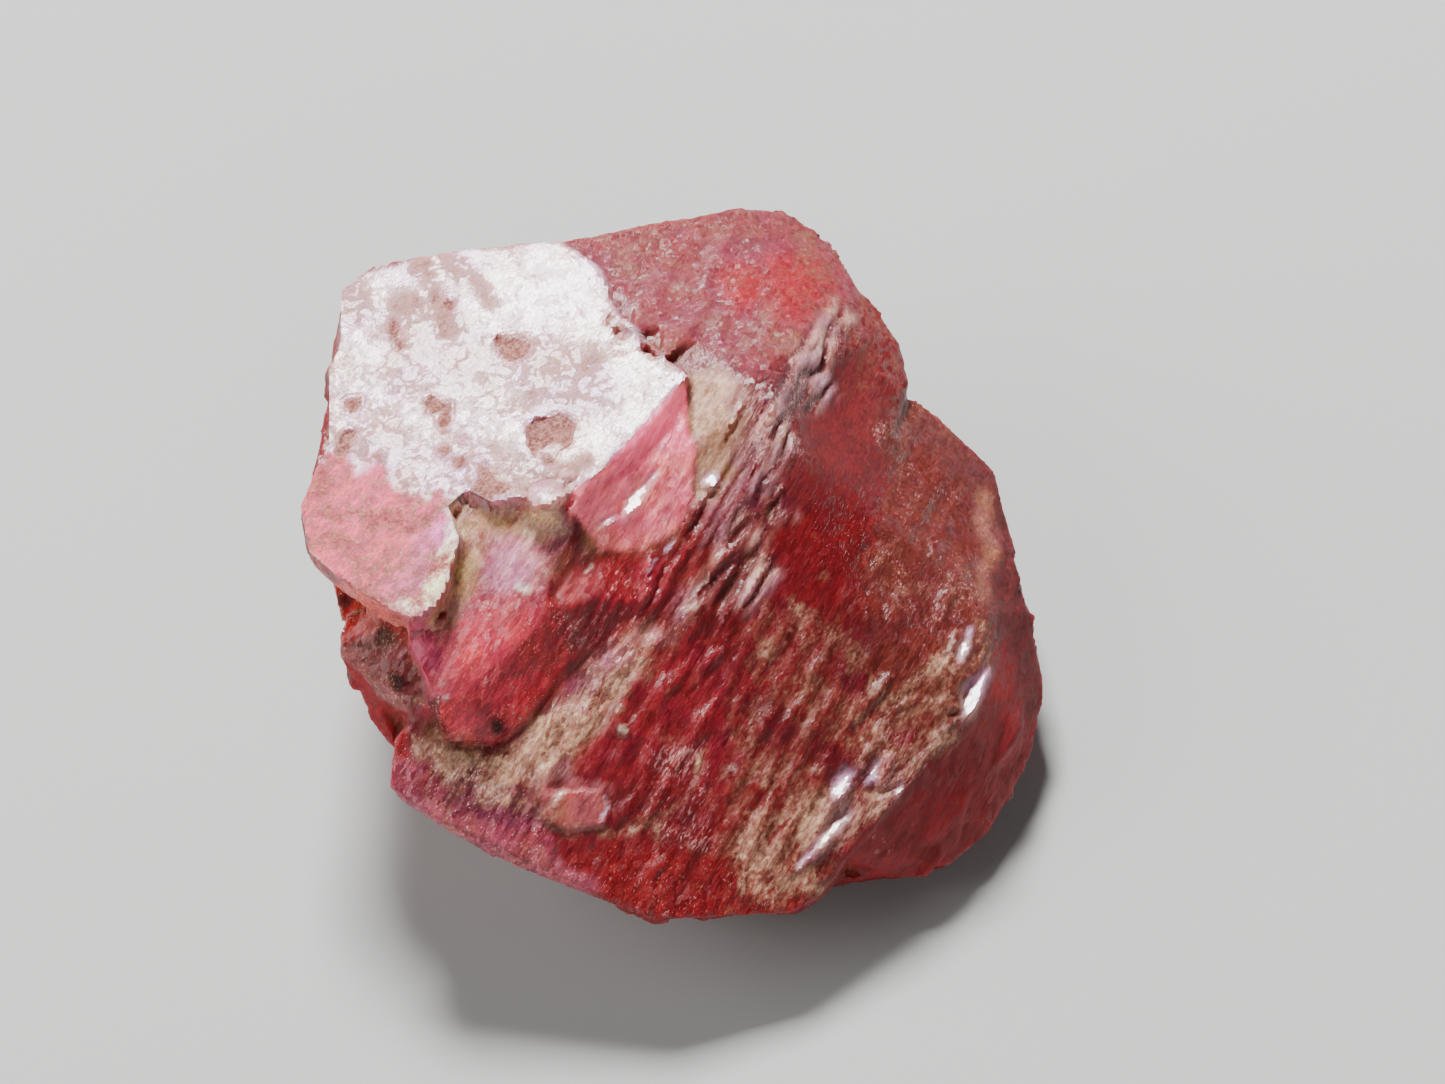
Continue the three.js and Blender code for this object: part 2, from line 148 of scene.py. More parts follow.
def share(mask):
    """How much of the skin a mask covers, for the notes that are printed."""
    return round(float(mask.mean()), 3)


crisp_normals = point_normals()
normals = unit(spread(crisp_normals, 3))
broad_normals = unit(spread(normals, 10))
print("edges between the points:", len(edges))

# %% [markdown]
# ## Two kinds of roughness
#
# Noise that rolls up and down makes a stone look like clay. A mineral breaks into small flat
# facets with steps between them, so most of the height comes from cells: space is cut into cells,
# each cell gets a tilt and a level of its own, and a point takes its height from the cell whose
# seed is nearest. Stretching space first makes the cells long, which gives splinters along the
# grain. The rolling kind stays useful for slow changes and for ragged outlines. Both work out their
# random numbers from the cell's own place, so every run gives the same stone.

# %% Repeatable random numbers
CELL_FACTORS = (73856093, 19349663, 83492791)  # large primes, one for each direction
SEED_FACTOR = 26544357
STIR_FACTOR = 1274126177
STIR_STEP = 374761393
LOW_BITS = 0x7FFFFFFF
LEVELS = 100003


def cell_random(cells, seed):
    """Three numbers from 0 to 1 for each whole-numbered cell, always the same ones."""
    first, second, third = (cells.astype(np.int64) * CELL_FACTORS).T
    n = first ^ second ^ third ^ (seed * SEED_FACTOR)
    made = []
    for turn in (1, 2, 3):
        n = ((n ^ (n >> 13)) * STIR_FACTOR + turn * STIR_STEP) & LOW_BITS
        made.append((n ^ (n >> 15)) % LEVELS / LEVELS)
    return np.stack(made, 1)


# %% The two kinds of height
CELL_LEVEL = 0.6  # how far the levels of two cells may differ


def facets(space, seed):
    """Heights of a face broken into small tilted facets, one to each cell of space."""
    base = np.floor(space)
    nearest = np.full(len(space), np.inf)
    height = np.zeros(len(space))
    for step in itertools.product((-1, 0, 1), repeat=3):
        cell = base + step
        gap = space - (cell + cell_random(cell, seed))
        distance = (gap**2).sum(1)
        tilt = cell_random(cell, seed + 1) - 0.5
        level = CELL_LEVEL * (cell_random(cell, seed + 2)[:, 0] - 0.5)
        closer = distance < nearest
        nearest[closer] = distance[closer]
        height[closer] = ((gap * tilt).sum(1) + level)[closer]
    return height


def swell(space, seed):
    """Smooth heights from -0.5 to 0.5, one bump or dip to each cell of space."""
    base = np.floor(space)
    t = space - base
    t = t * t * (3 - 2 * t)
    total = np.zeros(len(space))
    for step in itertools.product((0, 1), repeat=3):
        weight = np.prod(np.where(step, t, 1 - t), axis=1)
        total += weight * cell_random(base + step, seed)[:, 0]
    return total - 0.5


# %% [markdown]
# All the splinters run one way, up and away across the stone, and that is its grain. Space is
# measured along the grain, sideways across it and outward from it. Divided by a length and a
# width it gives long thin cells, and plain space divided by a small thickness gives flat cells
# that lie along the cleavage.

# %% The grain, and space stretched along it
grain = unit(np.array([0.5, 0.80, 0.33]))
outward = np.array([0.12, -0.42, 0.9])
outward = unit(outward - grain * (outward @ grain))
sideways = np.cross(grain, outward)
in_grain = points @ np.stack([grain, sideways, outward], 1)


def along_grain(length, width):
    """Space in long cells that follow the grain."""
    return in_grain / (length, width, width * 1.6)


def along_cleavage(length, thickness):
    """Space in flat cells that lie along the cleavage."""
    return points / (length, length, thickness)


print("grain:", grain.round(2), "outward:", outward.round(2))

# %% [markdown]
# ## Where things are on the stone
#
# The stone was laid out as someone sees it who looks down at it from 55 degrees above the table.
# That is also the easiest way to say where a patch of film or a vein lies: on a drawing plane that
# is square to this line of sight, so many millimetres across and so many up. A patch is an outline
# on that plane with a soft edge, and it only counts on faces that can be seen from there. No face
# of a broken stone ends in a ruled line, so the place of a point is shaken by up to a fifth of a
# millimetre before it is compared with an outline.

# %% Across and up
SIGHT = math.radians(55)
MIDDLE = 0.504  # how far the stone's middle was moved back when it was centred over its origin
GRAZING = 0.25  # the cosine to the view below which a face counts for less


def shaken(seed):
    """How far each place is shaken, in millimetres."""
    return 0.26 * swell(points / 0.8, seed) + 0.14 * swell(points / 0.27, seed + 1)


across = points[:, 0] + shaken(91)
up = (points[:, 1] - MIDDLE) * math.sin(SIGHT) + points[:, 2] * math.cos(SIGHT) + shaken(93)
place = np.stack([across, up], 1)
toward = np.array([0, -math.cos(SIGHT), math.sin(SIGHT)])
facing = np.clip(broad_normals @ toward / GRAZING, 0, 1)
flank = 1 - facing
print("seen from the front:", share(facing > 0.5), "of the skin")


# %% Patches, spots and veins
def smooth(low, high, values):
    """0 below low, 1 above high, and a smooth rise between."""
    t = np.clip((values - low) / (high - low), 0, 1)
    return t * t * (3 - 2 * t)


def distance_to(line):
    """How far each point is from a line of straight pieces."""
    nearest = np.full(len(points), np.inf)
    for a, b in zip(np.array(line[:-1]), np.array(line[1:])):
        t = np.clip((place - a) @ (b - a) / ((b - a) @ (b - a)), 0, 1)
        nearest = np.minimum(nearest, np.linalg.norm(place - a - t[:, None] * (b - a), axis=1))
    return nearest


def patch(outline, soft=0.3):
    """How far each point is inside an outline, from 0 to 1 across its soft edge."""
    ring = outline + outline[:1]
    inside = np.zeros(len(points), bool)
    for (ax, ay), (bx, by) in zip(ring, ring[1:]):
        crosses = (ay > up) != (by > up)
        inside ^= crosses & (across < (bx - ax) * (up - ay) / ((by - ay) or 1e-9) + ax)
    return smooth(-soft, soft, np.where(inside, 1, -1) * distance_to(ring)) * facing


def spot(x, y, radius, soft=0.5):
    """A round patch."""
    return smooth(1 + soft, 1 - soft, np.hypot(across - x, up - y) / radius) * facing


def vein(line, width, soft=0.5):
    """A patch along a line."""
    return smooth(1 + soft, 1 - soft, distance_to(line) / width) * facing


# %% [markdown]
# The large pale plate on the upper left is one clean cleavage. It is found by its outline, and
# also by its level and its tilt, so that the walls below its rim are left out. Its lower end is a
# rounded lobe that was etched and looks hazy, with an edge that is finely broken up.

# %% The large plate and its hazy lobe
cleavage = unit(np.array([-0.0896, 0.02, 0.996]))
depth = points @ cleavage
LEFT_SIDE = -2  # to the left of this, the highest face along the cleavage is the plate
top = depth[(crisp_normals @ cleavage > 0.99) & (points[:, 0] < LEFT_SIDE)].max()
on_plate = smooth(-0.62, -0.5, depth - top) * smooth(0.3, 0.6, broad_normals @ cleavage)
plate = on_plate * patch([
    (-8.2, 9.1), (-5.47, 10.02), (-3.04, 10.17), (-1.82, 9.46), (-1.53, 8.61), (-0.85, 7.64), (0.41, 6.91),
    (-0.36, 6.06), (-0.85, 5.45), (-1.82, 4.48), (-2.8, 3.63), (-3.77, 3.75), (-4.99, 3.38), (-5.09, 2.65),
    (-5.35, 1.8), (-5.67, 1.07), (-6.25, 0.78), (-6.93, 1.02), (-7.54, 1.36), (-8.27, 1.61), (-9.12, 2.77),
    (-9.17, 3.99), (-8.52, 5.21), (-8.59, 6.91),
], 0.1)
hazy_end = plate * patch([
    (-9.37, 3.26), (-8.52, 4.6), (-8.03, 5.01), (-7.62, 4.48), (-7.06, 4.91), (-6.64, 4.18), (-6.08, 3.75),
    (-5.6, 4.04), (-4.99, 3.63), (-4.99, 2.65), (-5.35, 1.8), (-5.67, 1.02), (-6.25, 0.71), (-6.93, 0.95),
    (-7.54, 1.31), (-8.27, 1.56), (-9.12, 2.65),
], 0.5)
frayed = hazy_end + 0.5 * swell(points / 0.6, 95) + 0.3 * swell(points / 0.25, 96)
lobe_haze = plate * smooth(0.3, 0.7, frayed)
print("plate:", share(plate), "of the skin, hazy lobe:", share(lobe_haze))

# %% [markdown]
# Below the plate the stone steps down. A second, lower plate lies under its rim and ends in a red
# ledge. To the right the rim is cut off by a pink bevel, and beside that lies a tan patch.

# %% The lower plate, the ledge, the bevel and the tan patch
lower_plate = (1 - plate) * patch([
    (-5.35, 3.63), (-4.26, 3.87), (-3.16, 3.94), (-2.36, 3.75), (-2.7, 2.65), (-3.04, 1.56), (-3.36, 0.71),
    (-4.21, -0.19), (-4.99, -0.88), (-5.77, -0.97), (-6.33, 0.22), (-6.33, 0.9), (-5.72, 1.31),
    (-5.52, 1.87), (-5.23, 2.75), (-5.16, 3.38),
], 0.12)
ledge = (1 - lower_plate) * patch([
    (-5.82, -0.88), (-5.18, -0.34), (-4.26, 0.34), (-3.53, 1.31), (-3.09, 1.56), (-2.68, 1.02),
    (-2.19, 0.34), (-2.75, -0.54), (-3.48, -1.51), (-4.21, -2.09), (-5.35, -2.21), (-5.72, -1.61),
], 0.16)
bevel = (1 - plate) * patch([
    (-0.22, 6.96), (0.32, 6.37), (0.41, 5.21), (0.41, 3.75), (-0.02, 3.02), (-0.61, 2.6), (-1.82, 2.48),
    (-2.46, 3.55), (-2.55, 3.99), (-1.82, 4.48), (-1.22, 4.96), (-0.73, 5.57), (-0.49, 6.18),
], 0.12)
tan_patch = (1 - bevel) * patch([
    (0.36, 6.86), (1.22, 6.91), (1.78, 6.37), (1.58, 5.21), (1.27, 4.23), (0.8, 3.63), (0.36, 3.63),
    (0.46, 5.21),
], 0.25)
print("lower plate:", share(lower_plate), "ledge:", share(ledge), "bevel:", share(bevel))

# %% [markdown]
# The middle of the stone broke across the cleavage. Folds run down it from the ridge and fan out
# into streaks, with a smooth glassy hollow on their right and a sandy valley on their left.

# %% The folds, the streaks, the hollow and the valley
folds = patch([
    (1.46, 6.18), (2.31, 6.91), (3.41, 7.88), (4.01, 8.61), (4.5, 8.13), (3.67, 6.96), (3.92, 6.37),
    (3.04, 5.69), (3.24, 4.91), (2.55, 4.48), (2.87, 3.45), (2.26, 2.97), (2.46, 1.92), (1.7, 1.07),
    (0.9, 1.31), (1.46, 3.26), (1.29, 4.96),
], 0.3)
streaks = patch([
    (-3.16, 2.29), (-2.31, 2.65), (-0.49, 2.58), (0.73, 3.63), (1.46, 4.48), (2.43, 4.23), (2.19, 2.29),
    (1.22, 1.31), (0.36, 0.22), (-1.58, -0.27), (-2.8, 0.34), (-3.16, 1.07),
], 0.3)
hollow = patch([
    (3.04, 5.69), (3.92, 6.37), (3.67, 6.96), (4.7, 7.4), (5.28, 6.18), (5.16, 4.23), (4.74, 3.02),
    (3.89, 1.31), (2.8, 1.19), (2.46, 1.92), (2.26, 2.97), (2.87, 3.45), (2.55, 4.48), (3.24, 4.91),
], 0.16)
valley = (1 - ledge) * patch([
    (-5.82, -1.73), (-5.35, -2.26), (-4.21, -2.21), (-3.48, -1.7), (-2.75, -0.88), (-1.82, -0.02),
    (-0.85, 0.78), (-0.17, 0.54), (-0.97, -0.88), (-1.95, -1.97), (-2.92, -2.94), (-4.14, -3.36),
    (-5.47, -2.94),
], 0.35)
print("folds:", share(folds), "streaks:", share(streaks), "hollow:", share(hollow), "valley:", share(valley))

# %% [markdown]
# At the lower left, under the lobe, the stone is a stack of small broken pieces: a strip right
# under the rim, a shelf with a crust on it, a clear red shard that sticks out, and a block.

# %% The pieces under the plate
under = (1 - plate) * patch([
    (-9.12, 2.65), (-8.27, 1.8), (-7.42, 1.51), (-6.84, 1.12), (-6.2, 0.9), (-6.33, 0.34), (-7.06, 0.49),
    (-8.1, 0.22), (-8.52, 1.31),
], 0.12)
shelf = (1 - plate) * patch([
    (-8.08, 0.34), (-6.98, 0.58), (-6.4, 0.34), (-6.08, -0.63), (-5.72, -1.17), (-6.45, -1.34),
    (-6.89, -1.17), (-7.62, -0.39), (-8.15, -0.02),
], 0.12)
shard = np.clip(3 * (1 - plate) * patch([
    (-8.59, 0.34), (-8.05, -0.15), (-7.52, -0.63), (-6.84, -1.27), (-6.35, -1.44), (-6.4, -2.38),
    (-7.27, -2.21), (-8.27, -1.12),
], 0.1), 0, 1)
block = patch([
    (-6.57, -1.41), (-5.72, -2.04), (-4.87, -2.7), (-3.53, -3.36), (-2.8, -4.77), (-2.07, -5.38),
    (-3.77, -5.21), (-5.47, -4.33), (-6.98, -3.26),
], 0.15)
print("shelf:", share(shelf), "shard:", share(shard), "block:", share(block))

# %% [markdown]
# The rest are the large faces round the outside: the rosy back, the slope that falls from the
# ridge, the low lobe on the right with its splintered crest, the steep red face under the crest,
# and the foot of the stone in front. What is flat and bright takes less relief than the rest.

# %% The outer faces
back_face = (1 - plate) * patch([
    (-3.16, 10.32), (-0.61, 10.8), (2.68, 11.17), (4.14, 10.07), (4.74, 8.86), (3.89, 8.13), (3.04, 7.52),
    (1.82, 6.86), (0.36, 6.86), (-0.85, 7.59), (-1.53, 8.37), (-1.82, 9.46),
], 0.25)
slope = patch([(4.26, 9.83), (5.84, 7.4), (5.84, 6.3), (4.99, 5.69), (4.26, 7.4), (4.01, 8.61)], 0.3)
lobe = patch([
    (4.79, 5.45), (5.84, 6.42), (6.93, 5.57), (8.03, 4.36), (8.39, 2.77), (8.15, 1.07), (7.3, -0.88),
    (6.2, -2.09), (5.23, -1.85), (4.62, 0.1), (4.7, 2.29), (5.11, 3.99),
], 0.35)
low_right = patch([
    (7.06, -1.73), (7.91, 0.1), (9.12, 1.31), (9.37, -1.12), (9, -2.58), (7.79, -4.53), (6.69, -5.5),
    (5.35, -5.74), (4.14, -5.45), (4.14, -4.65), (5.47, -3.55),
], 0.25)
bottom = patch([
    (-2.8, -4.77), (-1.34, -4.4), (0.61, -4.77), (3.04, -4.77), (4.14, -5.06), (3.04, -6.59),
    (-0.49, -6.72), (-2.07, -5.62),
], 0.25)
crest = patch([
    (7.91, 0.83), (7.54, -0.88), (6.93, -1.97), (5.6, -3.31), (4.26, -4.53), (3.28, -5.5), (2.8, -5.01),
    (3.53, -3.31), (4.99, -1.61), (6.45, 0.34),
], 0.25)
flat = np.clip(plate + 0.5 * lower_plate + 0.4 * ledge + 0.1 * bevel + 0.45 * hollow, 0, 1)
print("flat faces:", share(flat), "of the skin")

# %% [markdown]
# ## Broken faces
#
# Each face gets the roughness that it needs: long splinters where the stone broke across its
# cleavage, ledges on the steep sides, sand in the valley, and slow waves on the glassy parts.
#
# The folds come first. They are long low ridges that run along the grain, side by side, like the
# pleats of a curtain. A cosine across the grain would make even waves, so a second one inside it
# leans them over, slow noise makes them sway, and more noise lets each one fade in and out.

# %% Pleats
SWAY = 0.42
LEAN = 0.7
sway = 0.8 * swell(points / 1.6, 71) + 0.4 * swell(points / 0.6, 72)


def pleats(width, seed):
    """Long low ridges that run along the grain, lean to one side, and fade in and out."""
    turn = (in_grain[:, 1] + sway * SWAY) / width + 0.8 * swell(along_grain(1.4, 0.5), seed)
    fade = smooth(-0.3, 0.15, swell(along_grain(1.3, 0.6), seed + 1))
    angle = 2 * np.pi * turn
    return (0.5 - 0.5 * np.cos(angle + LEAN * np.sin(angle))) * fade


coarse_pleats = pleats(0.52, 74)
fine_pleats = pleats(0.30, 76)
pleated = np.clip(folds + 0.15 * crest + 0.2 * streaks, 0, 1)
splintered = np.clip(0.8 * folds + 0.7 * streaks + 0.3 * crest + 0.2 * tan_patch, 0, 1)
print("pleats on", share(pleated > 0.3), "of the skin")

# %% [markdown]
# Splinters are facets in long cells, and they lie over the pleats. Every other broken face gets
# smaller facets in two sizes, and the finest ones go on both. The sides that turn away from the
# front parted along the cleavage instead, so theirs are flat cells that make ledges. They leave
# out the lowest strip, because the face that the stone rests on is flat.

# %% Splinters, facets and ledges
PLEAT, FINE_PLEAT = 0.13, 0.05  # heights, in millimetres, here and below
SPLINTER = 0.075
FACET, SMALL_FACET, CHIP = 0.020, 0.018, 0.010
LEDGE, SMALL_LEDGE = 0.30, 0.10
PLEAT_MIDDLE = 0.4

rough = (PLEAT * (coarse_pleats - PLEAT_MIDDLE) * pleated
         + FINE_PLEAT * (fine_pleats - PLEAT_MIDDLE) * splintered)
rough += SPLINTER * facets(along_grain(2.4, 0.6), 11) * splintered
small = FACET * facets(along_grain(1.1, 0.6), 13) + SMALL_FACET * facets(along_grain(0.45, 0.24), 14)
rough += small * (1 - splintered)
rough += CHIP * facets(along_grain(0.4, 0.16), 15)
rough *= facing * (1 - flat) * (1 - 0.2 * lobe)
ledges = LEDGE * facets(along_cleavage(2.2, 0.7), 21) + SMALL_LEDGE * facets(along_cleavage(0.9, 0.3), 22)
ledges *= flank * smooth(0.05, 0.5, points[:, 2])
print("ledges, mm:", round(float(ledges.min()), 2), "to", round(float(ledges.max()), 2))

# %% [markdown]
# Sand lies in the valley, on the shelf and on the block: facets again, in small round cells. The
# glassy faces are hardly broken, but they are never quite flat, so they only get slow waves. The
# plate is the flattest of all, with an etching of a twentieth of a millimetre.

# %% Sand, waves and etching
SAND = 0.034
WAVE = 0.14
ETCHED, FINELY_ETCHED = 0.05, 0.012
sand = SAND * facets(points / 0.26, 31) * np.clip(valley + 0.6 * shelf + 0.4 * block, 0, 1)
glassy = np.clip(hollow + ledge + lower_plate + 0.8 * lobe + bevel, 0, 1)
waves = WAVE * swell(points / 1.6, 41) * glassy
etching = (ETCHED * swell(points / 1.4, 51) + FINELY_ETCHED * swell(points / 0.3, 52)) * plate
print("sand on", share(sand != 0), "of the skin, waves on", share(glassy > 0.3))

# %% [markdown]
# The plate also has pits with dark floors, some alone and some run together. Each is a round spot
# that noise breaks up. Its bands and patches of etching move no points, so they are only kept as
# masks, and so is a band of ochre along the lobe.

# %% Pits and etched bands on the plate
PIT = 0.10
pits = [
    (-3.26, 5.09, 0.22), (-2.65, 5.30, 0.19), (-3.38, 5.45, 0.17), (-5.96, 6.13, 0.15), (-5.67, 5.69, 0.15),
    (-3.67, 7.47, 0.15), (-7.79, 6.06, 0.15), (-8.03, 5.01, 0.15), (-6.62, 7.69, 0.12), (-5.91, 8.81, 0.12),
    (-5.52, 8.61, 0.12), (-6.81, 8.00, 0.12), (-1.53, 8.08, 0.12), (-3.09, 5.28, 0.41), (-2.85, 5.52, 0.24),
    (-5.79, 5.94, 0.22), (-3.97, 7.35, 0.24), (-7.91, 5.30, 0.17), (-4.26, 7.49, 0.15),
]
pitted = np.max([spot(x, y, radius, 0.9) for x, y, radius in pits], axis=0) * plate
pitted = smooth(0.3, 0.6, pitted + 0.9 * swell(points / 0.3, 54) * (pitted > 0.02))

ochre_line = vein([(-5.43, 5.21), (-4.99, 4.53), (-4.45, 3.94), (-3.87, 3.65)], 0.29, 0.7)
ochre_band = plate * ochre_line * smooth(-0.25, 0.1, swell(points / 0.35, 53))

bands = [
    vein([(-6.2, 9.54), (-5.82, 8.61), (-5.47, 8)], 0.27, 0.8),
    vein([(-5.52, 9.68), (-4.79, 9.22), (-4.45, 8.66)], 0.24, 0.8),
    0.5 * vein([(-6.69, 4.67), (-6.4, 3.99), (-6.11, 3.26)], 0.10, 0.8),
    0.8 * vein([(-3.33, 4.84), (-2.8, 4.48), (-2.07, 4.77)], 0.17, 0.8),
    0.7 * vein([(-8.27, 5.45), (-7.86, 5.09), (-7.37, 4.91)], 0.17, 0.8),
    spot(-7.86, 8.61, 0.49, 0.8),
    spot(-6.57, 8.61, 0.39, 0.8),
    0.5 * spot(-2.68, 6.86, 0.83, 0.8),
]
etched_bands = plate * np.max(bands, axis=0) * (1 - 0.5 * lobe_haze)
faint_areas = plate * np.maximum(spot(-7.62, 6.55, 1.17, 0.6), spot(-4.74, 5.57, 0.83, 0.6))
etched_bands = np.maximum(etched_bands, 0.35 * faint_areas)
print("pits:", len(pits), "bands:", len(bands))

# %% [markdown]
# Three small round beads grew on the stone, two on the rim of the plate and one on the lower
# plate. A bead is half a ball, so its height follows a circle. Then all the relief is added up,
# and every point moves along its normal by its own height.

# %% Beads, and the whole relief
BEAD = 0.35  # of its radius: how high a bead stands
beads = [(-3.04, 3.82, 0.44), (-2.65, 4.36, 0.24), (-3.60, 1.65, 0.19)]


def bead(x, y, radius):
    """The height of half a ball."""
    return np.sqrt(np.clip(1 - ((across - x)**2 + (up - y)**2) / radius**2, 0, 1)) * radius


round_beads = np.max([bead(*where_and_size) for where_and_size in beads], axis=0)
height = BEAD * round_beads + rough + ledges + sand + waves + etching - PIT * pitted
points += normals * height[:, None]
print("heights, mm:", round(float(height.min()), 3), "to", round(float(height.max()), 3))

# %% [markdown]
# The lower plate is settled onto one slanting plane, so that it reads as a plate of its own. Then
# the faces that were rubbed or grew smooth are evened out: the seam where the plate meets the
# ledge, the foot of the bevel, the hollow and the lower plate. The large plate is drawn back to
# its own level, because a cleavage is flat to a hair.

# %% Level the plates and smooth what is worn
LOWER_LEVEL = 8.112
LOWER_TILT_X, LOWER_TILT_Y = -0.0472, 0.2582
REACH = 0.5  # no point moves further than this onto the plane
PLATE_REACH = 0.3

settled = np.median(depth[plate > 0.9])
slant = (LOWER_LEVEL + LOWER_TILT_X * points[:, 0] + LOWER_TILT_Y * (points[:, 1] - MIDDLE)
         + 0.05 * swell(points / 1.5, 42))
rise = np.clip(slant - points[:, 2], -REACH, REACH)
points[:, 2] += rise * smooth(0.2, 0.8, lower_plate) * (1 - plate)

seam = (1 - plate) * vein([
    (-5.96, -1.17), (-5.6, -0.97), (-4.87, -0.63), (-3.94, -0.22), (-3.48, 0.34), (-3.09, 1.02),
], 0.29, 0.8)
bevel_foot = vein([(-2.8, 2.17), (-2.07, 2.38), (-0.85, 2.51), (-0.27, 2.73)], 0.34, 0.8)
worn = seam + 0.8 * bevel_foot * (1 - plate) + 0.8 * smooth(0.3, 0.9, hollow)
worn += 0.35 * smooth(0.3, 0.9, bevel) + 0.8 * smooth(0.5, 1, lower_plate)
points += (spread(points, 60) - points) * np.clip(worn, 0, 1)[:, None]

sunk = np.clip(depth - settled, -PLATE_REACH, PLATE_REACH) * smooth(0.3, 0.9, plate)
points -= cleavage * sunk[:, None]
print("worn smooth:", share(worn > 0.5), "of the skin")

# %% [markdown]
# Here and there the stone has also parted along its cleavage into tiny treads that all lie
# parallel to the large plate. They flash together with it. A tread is made by rounding the level
# of a point, measured across the cleavage, to the nearest of many even levels.

# %% Cleavage treads
TREAD = 0.17
level = points @ cleavage + 0.25 * swell(points / 1.1, 81)
scattered = smooth(0.02, 0.16, swell(along_grain(1.2, 0.45), 82))
treads = np.clip(0.55 * crest + 0.15 * folds + 0.06 * streaks + 0.1 * lobe + 0.3 * bevel, 0, 1)
treads *= scattered * facing
rounding = (np.round(level / TREAD) * TREAD - level) * treads
points += cleavage * rounding[:, None]
print("treads on", share(treads > 0.3), "of the skin")

# %% [markdown]
# The brightest flashes come from larger treads, which are long, narrow and few. Each is an oval
# along the grain, inside which the points are drawn to one level and so lie exactly parallel to
# the plate. A fine bump could not do this, because it scatters the light of the lamp.

# %% Larger treads, each a flat cut along the grain
flashes = [
    (-0.95, 3.75, 1.3, 0.55), (-1.68, 3.24, 0.55, 0.36), (0.85, 4.18, 0.5, 0.46), (7.25, -0.95, 1.3, 0.5),
    (7.06, 0.19, 0.8, 0.36), (-0.49, 4.28, 0.5, 0.2), (4.01, -3.14, 0.95, 0.5), (3.75, -4.28, 1.5, 0.5),
    (3.19, -4.89, 0.8, 0.24), (4.79, -2.82, 0.8, 0.2), (5.38, -3.31, 0.4, 0.22), (-3.53, 1.63, 0.3, 0.26),
    (-5.57, -0.63, 0.2, 0.18), (-5.43, -1.07, 0.2, 0.2), (-2.8, -3.48, 0.36, 0.1), (-1.65, -3.7, 0.36, 0.1),
    (0.61, 1.61, 0.9, 0.1), (0.32, 1.12, 0.6, 0.1), (2.02, 5.21, 0.7, 0.1), (-0.56, 2.14, 0.6, 0.06),
    (-3.45, -1.97, 0.14, 0.12), (-0.17, 2.65, 0.5, 0.08), (-2.07, 2.17, 0.4, 0.05),
]
LENGTHWISE = (0.5, 0.866)  # the grain as it is seen from the front
CUT_REACH = 0.3
flash = np.zeros(len(points))
for x, y, length, width in flashes:
    right_of, above = across - x, up - y
    lengthwise = right_of * LENGTHWISE[0] + above * LENGTHWISE[1]
    crosswise = right_of * LENGTHWISE[1] - above * LENGTHWISE[0]
    here = smooth(1.25, 0.8, np.hypot(lengthwise / length, crosswise / width) * 2) * facing
    levels = points @ cleavage
    if (here > 0.5).any():
        cut = np.clip(np.median(levels[here > 0.5]) - levels, -CUT_REACH, CUT_REACH)
        points += cleavage * (cut * here)[:, None]
    flash = np.maximum(flash, here)
print("large treads:", len(flashes), "on", share(flash > 0.5), "of the skin")

# %% [markdown]
# The stone keeps the size of its solid: whatever a facet pushed out past the box is brought back
# to it, and the face that it rests on stays flat.

# %% Hold it in its box
CLEAR = 0.002
low, high = np.array(cad_box) / MM
points = np.clip(points, low + CLEAR, high - CLEAR)
normals = point_normals()
print("box of the skin, mm:", points.min(0).round(2), points.max(0).round(2))

# %% [markdown]
# ## Edges and hollows
#
# Handling and weather crush the sharp edges of a mineral a little, so they scatter the light and
# look pale, while film and dust settle in the hollows. Both follow the shape: a point that lies
# outside the average of its neighbours is on an edge, and one that lies inside it is in a hollow.

# %% Measure them
near = ((points - spread(points, 3)) * normals).sum(1)
wide = ((points - spread(points, 24)) * normals).sum(1)
edge_wear = smooth(0.015, 0.06, spread(near, 1))
hollows = smooth(0.0, 0.12, -spread(wide, 2))
print("edges:", share(edge_wear), "hollows:", share(hollows))

# %% [markdown]
# ## Ground colour
#
# The colour of a mineral changes slowly from place to place with its chemistry and with how deep
# the light gets in, and quickly with films and veins. The slow part is painted on the skin's
# points, in washes over a deep red, as one would tint a plaster model. The quick part is left to
# the material. A mask says where a wash goes, and the order matters, because each one covers a
# part of what is under it.

# %% A deep red, lighter and darker in blotches
blotch = swell(points / 1.1, 61) + 0.6 * swell(points / 0.45, 62)
DEEP_RED = (0.215, 0.005, 0.010)
ground = np.tile(np.array(DEEP_RED), (len(points), 1))


def wash(colour, amount):
    """Lays a colour over the ground, as thick as amount says, from 0 to 1."""
    t = np.clip(amount, 0, 1)[:, None]
    ground[:] = ground * (1 - t) + np.array(colour) * t


def show_ground():
    print("ground colour so far:", ground.mean(0).round(3))


wash((0.12, 0.004, 0.008), 0.6 * smooth(-0.05, -0.4, blotch))
wash((0.29, 0.008, 0.013), 0.4 * smooth(0.15, 0.5, blotch))
show_ground()
